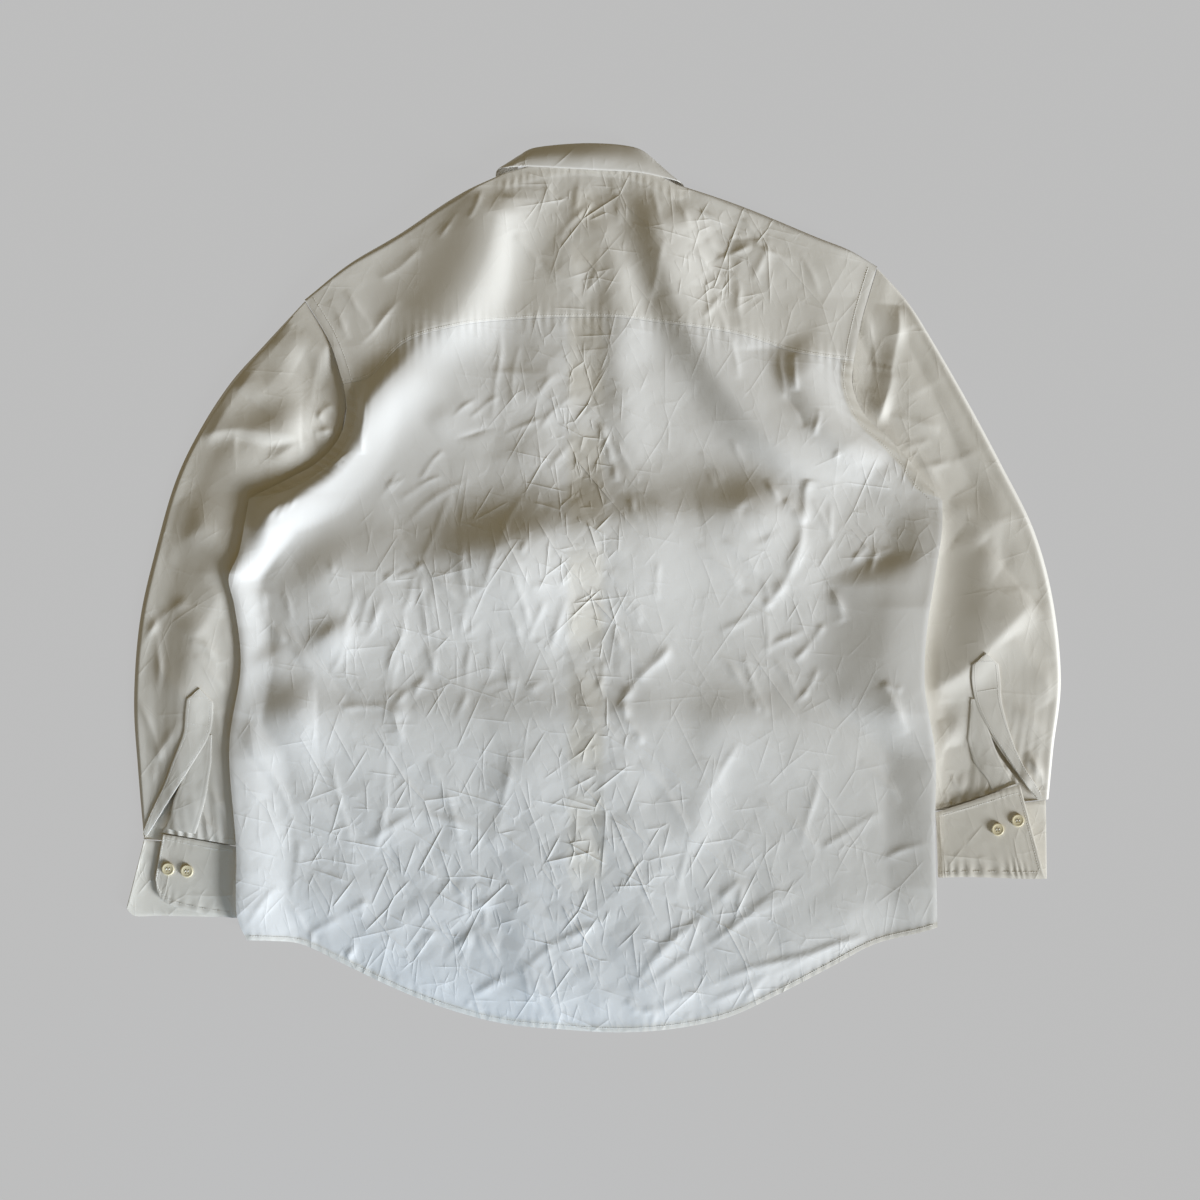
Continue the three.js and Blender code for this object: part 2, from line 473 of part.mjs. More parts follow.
/** Height of a sleeve's upper face: pressed flat under the body, and full outside it. */
function sleeveTop(name, s, t) {
  const { x, y } = sleevePlan(name, s, t)
  const outside = outsideBody(name, x, y)
  const own = SLEEVE_PRESSED + along(SIDES[name].sleeve, 'puff', s) * Math.sin(Math.PI * clamp(t, 0, 1)) ** 0.7
  const sewn = lerp(BACK.edge + SLEEVE_SEWN, SLEEVE_PRESSED, Math.max(smooth(0.4, 0.6, t), smooth(0.04, 0.12, s)))
  return lerp(sewn, Math.max(own, SLEEVE_PRESSED), smooth(SLEEVE_FREE.from, SLEEVE_FREE.to, outside))
}

/** One ring of a sleeve's face, set in by inset: over the top from the outer edge, back below. */
function sleeveRing(name, s, inset) {
  const { around } = CELLS.sleeve
  const width = Math.hypot(
    along(SIDES[name].sleeve, 'outX', s) - along(SIDES[name].sleeve, 'inX', s),
    along(SIDES[name].sleeve, 'outY', s) - along(SIDES[name].sleeve, 'inY', s),
  )
  return Array.from({ length: around }, (_, k) => {
    const angle = (2 * Math.PI * k) / around
    const t = lerp(inset / width, 1 - inset / width, (1 - Math.cos(angle)) / 2)
    const { x, y } = sleevePlan(name, s, t)
    const open = clamp(Math.abs(Math.sin(angle)) * SLEEVE_ROUND, 0, 1)
    const level = Math.sin(angle) >= 0 ? sleeveTop(name, s, t) - inset : inset
    return new THREE.Vector3(x, y, lerp(SLEEVE_EDGE, level, open))
  })
}

/** A sleeve: a flattened tube, slit near the cuff and trimmed to the cuff's sewn edge. */
function sleeve(name) {
  const steps = range(CELLS.sleeve.along)
  const outer = steps.map((s) => sleeveRing(name, s, 0))
  const inner = steps.map((s) => sleeveRing(name, s, CLOTH))
  const opening = new THREE.Shape(SIDES[name].slit.map((p) => new THREE.Vector2(p.x, p.y)))
  const cutter = new THREE.ExtrudeGeometry(opening, { depth: 40, bevelEnabled: false })
  cutter.translate(0, 0, SLEEVE_EDGE + 0.5)
  return cut(between(outer, inner, true), cutter)
}

/** Height of a faceted grid of points at a place; -Infinity where the grid doesn't reach. */
function heightOn(grid, x, y) {
  let best = -Infinity
  for (let i = 0; i + 1 < grid.length; i++) {
    for (let j = 0; j + 1 < grid[i].length; j++) {
      const [a, b, c, d] = [grid[i][j], grid[i][j + 1], grid[i + 1][j + 1], grid[i + 1][j]]
      for (const [p, q, r] of [[a, b, c], [a, c, d]]) {
        const area = (q.x - p.x) * (r.y - p.y) - (r.x - p.x) * (q.y - p.y)
        const wq = ((x - p.x) * (r.y - p.y) - (r.x - p.x) * (y - p.y)) / area
        const wr = ((q.x - p.x) * (y - p.y) - (x - p.x) * (q.y - p.y)) / area
        if (wq >= 0 && wr >= 0 && wq + wr <= 1) best = Math.max(best, p.z + wq * (q.z - p.z) + wr * (r.z - p.z))
      }
    }
  }
  return best
}

/** The highest a faceted grid stands within a distance of a place. */
function highestOn(grid, x, y, around) {
  const spots = range(PROBES).map((t) => [around * Math.cos(2 * Math.PI * t), around * Math.sin(2 * Math.PI * t)])
  return Math.max(...[[0, 0], ...spots].map(([dx, dy]) => heightOn(grid, x + dx, y + dy)))
}

/** A strip that lies on a sleeve, made from the sleeve's own height under it. */
function strip(name, rows) {
  const { along: cells, across } = CELLS.placket
  const half = CELLS.sleeve.around / 2 + 1
  const top = range(CELLS.sleeve.along).map((s) => sleeveRing(name, s, 0).slice(0, half))
  const grid = range(cells).map((s) => range(across).map((t) => {
    const x = lerp(along(rows, 'outX', s), along(rows, 'inX', s), t)
    const y = lerp(along(rows, 'outY', s), along(rows, 'inY', s), t)
    return new THREE.Vector3(x, y, highestOn(top, x, y, STRIP_PROBE) + LAID + CLOTH)
  }))
  return slab(grid, CLOTH)
}

// ---------------------------------------------------------------- the body's lower layers
const sleeveSpots = Object.keys(SIDES).flatMap((name) => range(20).flatMap((s) => (
  range(12).map((t) => sleevePlan(name, s, t)))))

/** How high the lowest layer of the body is carried at a place. */
function lift(x, y, placket) {
  const near = Math.sqrt(Math.min(...sleeveSpots.map((p) => (p.x - x) ** 2 + (p.y - y) ** 2)))
  const { sleeve: over, collar } = LIFT
  const share = 1 - smooth(collar.full, collar.none, Math.abs(x - BAND.middle))
  return Math.max(
    over.height * (1 - smooth(over.full, over.none, near)),
    placket.height * bandShare(x, placket),
    collar.height * share * smooth(collar.from, collar.to, y),
  )
}

// ---------------------------------------------------------------- panels
function back() {
  const { across, back: rows } = CELLS.body
  const low = (u) => hemLine(u)
  const high = (u) => seamLine(u).add(new THREE.Vector3(0, -SEAM, 0))
  const left = (v) => bodySide('left', v).add(new THREE.Vector3(0, -SEAM * v, 0))
  const right = (v) => bodySide('right', v).add(new THREE.Vector3(0, -SEAM * v, 0))
  const grid = range(rows).map((v) => range(across).map((u) => bodyPoint(patch(low, high, left, right, u, v))))
  return slab(grid, CLOTH)
}

/** The yoke: the flat part, then the turn over the shoulder, then the part that lies below. */
function yoke() {
  const { across, yoke: rows, fold, wrap } = CELLS.body
  const left = (v) => lines.left.yokeArmhole(v)
  const right = (v) => lines.right.yokeArmhole(v)
  const columns = range(across)
  const flat = range(rows).map((v) => columns.map((u) => {
    const p = patch(seamLine, yokeTop, left, right, u, v)
    return bodyPoint(p).add(new THREE.Vector3(0, 0, -CLOTH / 2))
  }))
  const turns = columns.map((u, j) => {
    const step = yokeTop(Math.min(u + 0.01, 1)).sub(yokeTop(Math.max(u - 0.01, 0)))
    const outward = new THREE.Vector3(-step.y, step.x, 0).normalize()
    const sewn = smooth(NECK_FROM - NECK_BLEND, NECK_FROM, u) * (1 - smooth(NECK_TO, NECK_TO + NECK_BLEND, u))
    const edge = flat[rows][j]
    const under = CLOTH / 2 + lift(edge.x, edge.y, LIFT.rightPlacket)
    const radius = lerp(Math.max((edge.z - under) / 2, NECK_WRAP.radius), NECK_WRAP.radius, sewn)
    return { edge, outward, radius, reach: lerp(SHOULDER_WRAP, NECK_WRAP.reach, sewn) }
  })
  for (const { edge, outward, radius } of turns) edge.addScaledVector(outward, -radius)
  const turned = range(fold).slice(1).map((f) => turns.map(({ edge, outward, radius }) => (
    edge.clone().addScaledVector(outward, radius * Math.sin(Math.PI * f))
      .add(new THREE.Vector3(0, 0, -radius * (1 - Math.cos(Math.PI * f)))))))
  const below = range(wrap).slice(1).map((w) => turns.map(({ edge, outward, radius, reach }) => (
    edge.clone().addScaledVector(outward, -reach * w).add(new THREE.Vector3(0, 0, -2 * radius)))))
  return wall([...flat, ...turned, ...below], CLOTH)
}

/** A front panel, from the side edge to the far edge of the front band. */
function front(name) {
  const { across, along: rows } = CELLS.front
  const isLeft = name === 'left'
  const inward = isLeft ? 1 : -1
  const placket = isLeft ? LIFT.leftPlacket : LIFT.rightPlacket
  const bandEdge = BAND.middle + inward * (BAND.width / 2)
  const { side, armhole, shoulder } = lines[name]
  const low = (u) => hemLine(lerp(isLeft ? 0 : 1, hemShare(bandEdge), u))
    .add(new THREE.Vector3(0, FRONT_HEM_RISE * smooth(0, 0.1, u), 0))
  const neck = isLeft ? STAND.slice(0, 4).reverse() : STAND.slice(-4)
  const high = (u) => (u < FRONT_SHOULDER
    ? beside(shoulder, u / FRONT_SHOULDER, -inward * (SHOULDER_WRAP + SHOULDER_TURN))
    : neckEdge(neck, (u - FRONT_SHOULDER) / (1 - FRONT_SHOULDER), bandEdge))
  const long = (v) => (v < FRONT_UNDERARM ? side(v / FRONT_UNDERARM)
    : beside(armhole, 1 - ((v - FRONT_UNDERARM) / (1 - FRONT_UNDERARM)) * FRONT_ARMHOLE, inward * SEAM))
  const edge = (v) => long(v).lerp(high(0), smooth(0.93, 1, v))
  const straight = (v) => low(1).lerp(high(1), v)
  const grid = range(rows).map((v) => range(across).map((u) => {
    const p = patch(low, high, edge, straight, u, v)
    return new THREE.Vector3(p.x, p.y, lift(p.x, p.y, placket) + CLOTH)
  }))
  return slab(grid, CLOTH)
}

/** Share of the hem's length at which it reaches x. */
function hemShare(x) {
  return range(400).find((t) => hemLine(t).x >= x)
}

/** The front's neck edge, just short of the stand's sewn edge, ending at the band's edge. */
function neckEdge(rows, t, bandEdge) {
  const edgeX = along(rows, 'edgeX', t)
  const x = lerp(edgeX + Math.sign(edgeX) * NECK_CLEAR, bandEdge, smooth(0.6, 1, t))
  return new THREE.Vector3(x, along(rows, 'edgeY', t) - NECK_CLEAR, 0)
}

function frontBand() {
  const { along: rows, across } = CELLS.band
  const share = hemShare(BAND.middle)
  const low = hemLine(share).y + FRONT_HEM_RISE + SEAM
  const high = STAND[0].edgeY - NECK_CLEAR - 2 * SEAM
  const z = LIFT.leftPlacket.height - PLY
  const grid = range(rows).map((v) => range(across).map((u) => (
    new THREE.Vector3(BAND.middle + (u - 0.5) * BAND.width, lerp(low, high, v), z))))
  return slab(grid, CLOTH)
}

/** A strip of cloth between a sewn edge and a fold, or between two edges, row by row. */
function sections(rows, cells, thickness) {
  const grid = range(cells.along).map((s) => range(cells.across).map((t) => {
    const at = (column) => along(rows, column, s)
    const z = lerp(at('edgeZ'), at('foldZ'), t) + at('arch') * Math.sin(Math.PI * t)
    const x = lerp(at('edgeX'), at('foldX'), t)
    return new THREE.Vector3(x, lerp(at('edgeY'), at('foldY'), t), Math.max(z, thickness / 2))
  }))
  return wall(grid, thickness)
}

/** The middle surface of a cuff, section by section from its button end. */
function cuffGrid(name) {
  const rows = SIDES[name].cuff
  const { along: cells, across } = CELLS.cuff
  return range(cells).map((s) => range(across).map((t) => {
    const at = (column) => along(rows, column, s)
    const z = Math.max(at('z'), CUFF_CLOTH / 2)
    return new THREE.Vector3(lerp(at('seamX'), at('edgeX'), t), lerp(at('seamY'), at('edgeY'), t), z)
  }))
}

/** A button that lies on a cuff. */
function cuffButton(name, { x, y }) {
  const carried = highestOn(cuffGrid(name), x, y, BUTTON.radius) + CUFF_CLOTH / 2
  return button(x, y, carried + PLY, true)
}

/** A round button with a dished face and a raised rim, lying at height z. */
function button(x, y, z, faceUp) {
  const { radius, thick, dish, rim } = BUTTON
  const profile = [
    [0, 0], [radius, 0], [radius, thick], [radius - rim, thick], [radius - rim - dish, thick - dish],
    [0, thick - dish],
  ]
  const geometry = new THREE.LatheGeometry(profile.map(([r, h]) => new THREE.Vector2(r, h)), CELLS.button)
  geometry.rotateX(Math.PI / 2)
  if (!faceUp) geometry.rotateX(Math.PI).translate(0, 0, thick)
  return geometry.translate(x, y, z)
}

// ---------------------------------------------------------------- cutting
const wasm = await Module()
wasm.setup()

function solid(geometry) {
  const bare = geometry.clone()
  for (const name of ['normal', 'uv']) bare.deleteAttribute(name)
  const merged = mergeVertices(bare, 1e-4)
  return new wasm.Manifold(new wasm.Mesh({
    numProp: 3,
    vertProperties: new Float32Array(merged.attributes.position.array),
    triVerts: new Uint32Array(merged.index.array),
  }))
}

function cut(geometry, tool) {
  const mesh = solid(geometry).subtract(solid(tool)).getMesh()
  const result = new THREE.BufferGeometry()
  result.setAttribute('position', new THREE.BufferAttribute(new Float32Array(mesh.vertProperties), 3))
  result.setIndex(Array.from(mesh.triVerts))
  return result
}

// ---------------------------------------------------------------- the shirt
const cotton = new THREE.MeshStandardMaterial({ color: 0xeceae2, roughness: 0.85, metalness: 0 })
const seamCotton = new THREE.MeshStandardMaterial({ color: 0xe4dfd0, roughness: 0.85, metalness: 0 })
const buttonShell = new THREE.MeshStandardMaterial({ color: 0xe9e0c2, roughness: 0.35, metalness: 0 })

const group = new THREE.Group()
function add(name, geometry, material) {
  const mesh = new THREE.Mesh(geometry, material)
  mesh.name = name
  group.add(mesh)
}

add('back', back(), cotton)
add('yoke', yoke(), cotton)
add('left_front', front('left'), cotton)
add('right_front', front('right'), cotton)
add('front_band', frontBand(), seamCotton)
add('collar_leaf', sections(LEAF, CELLS.leaf, LEAF_CLOTH), cotton)
add('collar_stand', sections(STAND, CELLS.stand, CLOTH), cotton)
for (const [name, side] of Object.entries(SIDES)) {
  add(`sleeve_${name}`, sleeve(name), cotton)
  add(`cuff_${name}`, wall(cuffGrid(name), CUFF_CLOTH), cotton)
  add(`tower_placket_${name}`, strip(name, side.tower), seamCotton)
  add(`under_placket_${name}`, strip(name, side.under), seamCotton)
  side.buttons.forEach((place, i) => {
    add(`cuff_button_${name}_${i + 1}`, cuffButton(name, place), buttonShell)
  })
}
for (let i = 0; i < FRONT_BUTTONS.count; i++) {
  const y = FRONT_BUTTONS.top - i * FRONT_BUTTONS.pitch
  add(`front_button_${i + 1}`, button(BAND.middle, y, 0, false), buttonShell)
}
add('collar_button', button(COLLAR_BUTTON.x, COLLAR_BUTTON.y, 0, false), buttonShell)

export default group
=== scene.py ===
"""A crumpled white cotton shirt, laid face down with its collar folded and both cuffs undone.

Shapes are worked out in millimetres in the row's frame, with +Y towards the collar, +Z up and
the wearer's left at -X, and become metres when a mesh is made.
"""

import bpy
import numpy as np
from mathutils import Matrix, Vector


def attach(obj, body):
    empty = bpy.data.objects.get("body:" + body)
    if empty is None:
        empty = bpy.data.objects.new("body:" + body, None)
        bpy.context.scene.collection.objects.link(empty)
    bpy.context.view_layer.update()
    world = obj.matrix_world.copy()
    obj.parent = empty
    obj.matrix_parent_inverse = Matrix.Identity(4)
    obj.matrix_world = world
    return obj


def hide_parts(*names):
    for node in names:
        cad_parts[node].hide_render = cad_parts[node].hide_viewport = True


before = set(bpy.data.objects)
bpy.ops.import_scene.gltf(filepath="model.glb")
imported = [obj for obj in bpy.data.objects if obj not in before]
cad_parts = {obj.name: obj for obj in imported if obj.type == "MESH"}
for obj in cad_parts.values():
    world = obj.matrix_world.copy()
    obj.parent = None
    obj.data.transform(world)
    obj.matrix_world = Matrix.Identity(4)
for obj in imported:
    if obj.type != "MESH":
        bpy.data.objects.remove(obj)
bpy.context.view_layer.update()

MM = 0.001
THREAD = 0.55                 # thickness of the cloth that shows, and of a front
UNDER = 1.7                   # how far a panel's hidden face lies below its smooth form
SEAM = 0.8                    # gap in plan between two panels sewn edge to edge
PRESSED = 2.8                 # height of a sleeve where the body lies on it
EDGE = 1.3                    # height of a sleeve's folded edge
SHOULDER_WRAP = 32            # how far the yoke reaches round to the front
SHOULDER_TURN = 7             # room for the yoke's turn over the shoulder
NECK_CLEAR = 4.8              # how far a front's neck edge stays from the stand's
FRONT_RISE = 7                # the front's tail is this much shorter than the back's
BAND_MIDDLE, BAND_WIDTH = -3.5, 35
NECK_FROM, NECK_TO, NECK_BLEND = 0.36, 0.66, 0.12
UNDERARM = 0.68               # the share of the body's rows that lie below the underarm
FRONT_UNDERARM, FRONT_ARMHOLE, FRONT_SHOULDER = 0.58, 0.84, 0.55
BOARD_X, BOARD_Y = 593.5, 587.5   # the row's origin, from the far left corner of a laying board
BODY_LOW = 5.4                # the body's smooth upper face beside its edges
BAND_LIFT, YOKE_LIFT, CROWN = 2.4, 2.2, 2.6   # what is added over the band, over the yoke and inland
SLEEVE_CARRY, COLLAR_CARRY = 3.1, 2.7         # how far sleeves and collar carry the lowest layer
BAND_CARRY = {"left": 4.0, "right": 5.3}      # how far the front band carries each front
BELOW_BACK, BELOW_EDGE = 2.8, 2.3             # how far a front stays below the back, inland and outside
SLEEVE_WALL = 0.7             # between the two faces of a sleeve's cloth
SLEEVE_LENGTH = 580
CUFF_LENGTH, CUFF_HEIGHT = 223, 66
LEAF_LENGTH, LEAF_HEIGHT = 560, 26
STAND_LENGTH, STAND_HEIGHT = 470, 28
PLACKET_LENGTH, PLACKET_WIDTH = 155, 25
HEM_STITCH, SEAM_STITCH, FELLED_STITCH = 4.4, 2.4, 8.6   # each row of stitches from its edge
BUTTON_RADIUS, BUTTON_HEIGHT, HOLE_PLACE, HOLE_RADIUS = 6.3, 2.0, 1.25, 0.95
FIRST_BUTTON, BUTTON_PITCH, BAND_BUTTONS = 262, 92, 7    # down the front band, from y of the first

# ---------------------------------------------------------------- outline, seen from above
HEM = [(-345.5, -351.5), (-323, -352.5), (-293, -356.5), (-247, -378), (-193, -403.5),
       (-143, -422.5), (-93, -435.5), (-33, -441.5), (26, -444.5), (86, -440.5), (136, -429.5),
       (186, -406.5), (236, -380.5), (281, -357), (326, -345), (343.5, -339.5)]
YOKE_SEAM = [(-249.5, 203.5), (-223, 210), (-190, 243), (-141, 258.5), (-92, 266.5), (26, 268.5),
             (86, 260.5), (146, 251.5), (206, 233.5), (259.5, 226.5)]
NECK = [(-88, 414), (-48, 424), (-4, 427), (44, 421), (83, 402)]
SIDES = {
    "left": {
        "sign": -1,
        "shoulder": [(-288.5, 287.5), (-243, 323.5), (-193, 353.5), (-143, 386.5), (-88, 414)],
        "yoke_armhole": [(-249.5, 203.5), (-263.5, 245.5), (-288.5, 287.5)],
        "back_armhole": [(-343.5, 89.5), (-303.5, 109.5), (-275.5, 125.5), (-254, 150),
                         (-246.5, 177.5), (-249.5, 203.5)],
        "side": [(-345.5, -351.5), (-354.5, -329), (-355.5, -262), (-362.5, -154), (-351.5, -77),
                 (-357.5, -17), (-362.5, 9.5), (-352.5, 34.5), (-343.5, 89.5)],
        # outer x, y; inner x, y; bow; how far the top stands up
        "sleeve": [(-289, 287.5, -246.5, 177.5, 1, 8), (-331.5, 241.5, -253, 138, 0.6, 12),
                   (-363.5, 205.5, -260, 98, 0.42, 14), (-393.5, 159.5, -266, 52, 0.3, 15),
                   (-418.5, 107.5, -270, 8, 0.2, 16), (-437.5, 42.5, -272, -40, 0.12, 16),
                   (-454.5, -32.5, -277, -95, 0.06, 16), (-460.5, -112.5, -289, -152, 0.03, 14),
                   (-456.5, -182.5, -311, -207, 0, 10), (-450.5, -252, -343.5, -260, 0, 6.5)],
        "slit": [(-386, -153), (-413, -207), (-431.5, -245), (-378, -254), (-335, -261),
                 (-335, -290), (-465, -290), (-452, -253), (-432, -226), (-404, -182)],
        # outer x, y; slit side x, y
        "tower": [(-392.8, -100.8, -392.2, -101), (-405.5, -111, -379.5, -114.5),
                  (-407.5, -128, -380.5, -133), (-409.5, -146, -385, -151),
                  (-420, -172, -402, -179), (-430, -198, -415, -199), (-439, -216, -427, -217),
                  (-446, -232, -437, -233), (-451.5, -247, -446.5, -248)],
        "under": [(-393, -150, -381, -147), (-409, -188, -381.5, -174),
                  (-419, -211, -387, -208), (-423, -227, -392, -228), (-428, -241, -398, -246)],
        # sewn edge x, y; lower edge x, y; height
        "cuff": [(-431, -247, -439, -292, 4.4), (-421, -248.5, -434, -310, 4.8),
                 (-408, -250.5, -421, -318.5, 5.2), (-388, -254, -394, -325.5, 5.6),
                 (-365, -258, -365, -330, 4.8), (-359.5, -259, -359, -330.5, 3.9),
                 (-357.7, -259.4, -357.2, -330.7, 2.4), (-359.5, -259.6, -359, -330.5, 1.1),
                 (-365, -259.2, -365, -330, 0.75), (-388, -257.5, -394, -330, 0.75),
                 (-421, -255, -433, -329, 0.75), (-444, -253.3, -459, -329, 2.2),
                 (-450, -252.8, -467.5, -321, 3.6)],
        "buttons": [(-425.5, -281.5), (-406.5, -283.5)],
    },
    "right": {
        "sign": 1,
        "shoulder": [(283.5, 320.5), (256, 336.5), (226, 348.5), (186, 365.5), (146, 381.5),
                     (83, 402)],
        "yoke_armhole": [(259.5, 226.5), (268.5, 269.5), (283.5, 320.5)],
        "back_armhole": [(348.5, 87.5), (328.5, 107.5), (313.5, 129.5), (296.5, 147.5),
                         (269.5, 174.5), (258.5, 202.5), (259.5, 226.5)],
        "side": [(343.5, -339.5), (340.5, -242), (340.5, -167), (329.5, -100), (331.5, -42),
                 (340.5, 15.5), (347.5, 57.5), (348.5, 87.5)],
        "sleeve": [(286, 320.5, 258.5, 202.5, 1, 8), (316.5, 285.5, 264, 158, 0.6, 12),
                   (344.5, 240.5, 270, 112, 0.42, 14), (376.5, 184.5, 274, 66, 0.3, 15),
                   (409.5, 122.5, 276, 20, 0.2, 14), (441.5, 57.5, 279, -28, 0.12, 13),
                   (460.5, -12.5, 284, -78, 0.06, 12), (468.5, -92.5, 297, -132, 0.03, 10.5),
                   (461, -160, 318, -180, 0, 8.5), (456, -212, 342.5, -224, 0, 6.5)],
        "slit": [(390.5, -138), (406, -169), (425.5, -195), (382, -211.5), (335, -225),
                 (335, -250), (475, -250), (446, -214), (428, -192), (410, -167)],
        "tower": [(391.8, -65.8, 391.2, -65.8), (404.5, -77, 377.5, -77), (406.5, -93, 378, -95),
                  (407.5, -112, 384, -121), (413, -135, 396, -143),
                  (421.5, -160, 410.5, -165), (432, -182, 423.5, -185), (442, -197, 434, -200),
                  (449.5, -210, 445, -212)],
        "under": [(385, -112, 377.5, -111), (397, -148, 374.5, -152), (405.5, -170, 381.5, -175),
                  (412.5, -183, 392.5, -190), (418, -193, 398.5, -202)],
        "cuff": [(426, -197, 451, -291, 8.0), (412, -201, 432, -291, 8.2),
                 (398, -206.2, 414, -290.5, 7.6), (372, -215.3, 378, -289.5, 6.4),
                 (350, -222.5, 354, -290, 5.3), (345.2, -224.2, 348.2, -290.3, 4.6),
                 (343, -224.8, 346, -290.4, 2.9), (345.2, -224.6, 348.2, -290.3, 1.2),
                 (350, -224, 354, -290.2, 0.75), (384, -220.4, 390, -290, 1.6),
                 (420, -216.6, 428, -291, 3.8), (453.5, -213, 454.5, -292, 0.75)],
        "buttons": [(423.5, -232.5), (403.5, -241.5)],
    },
}
# edge x, y, z; fold x, y, z; arch
LEAF = [(-53, 288, 0.6, -11, 356, 0.6, 0), (-82, 345, 0.6, -48, 384, 0.6, 0),
        (-95, 392, 0.6, -74, 412, 0.6, 0), (-98, 412, 1.6, -81, 424, 1.6, 0),
        (-95, 418, 7.5, -80, 427.5, 4.5, 0), (-88, 418.5, 12.2, -73, 432.5, 6, 1),
        (-64, 419.5, 13.5, -56, 440, 7, 2), (-4, 416, 15, -4, 443.8, 8, 3),
        (44, 413.5, 14, 42, 439.5, 7, 2), (78, 407, 11, 64, 424.5, 6, 1),
        (88, 404, 6, 73, 415, 4.5, 0), (91, 398, 1.6, 76, 411, 1.6, 0),
        (88, 380, 0.6, 68, 400, 0.6, 0), (75, 338, 0.6, 42, 380, 0.6, 0),
        (50, 285, 0.6, 5, 356, 0.6, 0)]
STAND = [(-10, 328, 3.2, -10, 353, 3.2, 0), (-46, 350, 3.2, -38, 374, 3.2, 0),
         (-72, 383, 3.2, -63, 400, 3.2, 0), (-82, 414, 3.2, -76, 422, 3.2, 0),
         (-73, 422, 6.4, -69, 430, 5.8, 0), (-48, 427, 7.4, -50, 439.2, 5.6, 0),
         (-4, 429, 7.8, -4, 443.2, 6.4, 0), (42, 424, 7.4, 39, 438, 5.6, 0),
         (69, 411, 6.4, 61, 421, 5.8, 0), (78, 402, 3.2, 69, 411, 3.2, 0),
         (66, 377, 3.2, 57, 394, 3.2, 0), (40, 350, 3.2, 32, 374, 3.2, 0),
         (4, 328, 3.2, 4, 353, 3.2, 0)]

# The body's largest folds: the crest's two ends, its bow to the left, height, and how far it falls
# away on its left and right.
BODY_FOLDS = [
    (-92, 411, -167, 238, 17, 11, 44, 72), (-168, 242, -352, 38, 0, 11, 42, 28),
    (-8, 380, 46, 236, 4, 3, 22, 46), (56, 398, 230, 104, -37, 12.5, 60, 34),
    (-318, -12, -40, 38, 8, 7.5, 56, 110), (-150, 24, 228, 68, 14, 11, 56, 110),
    (-350, -134, 290, -138, 0, 3.9, 46, 92), (200, 236, 276, 126, -16, 6.5, 36, 30),
    (150, -110, 70, -280, -10, 2, 46, 40),
]

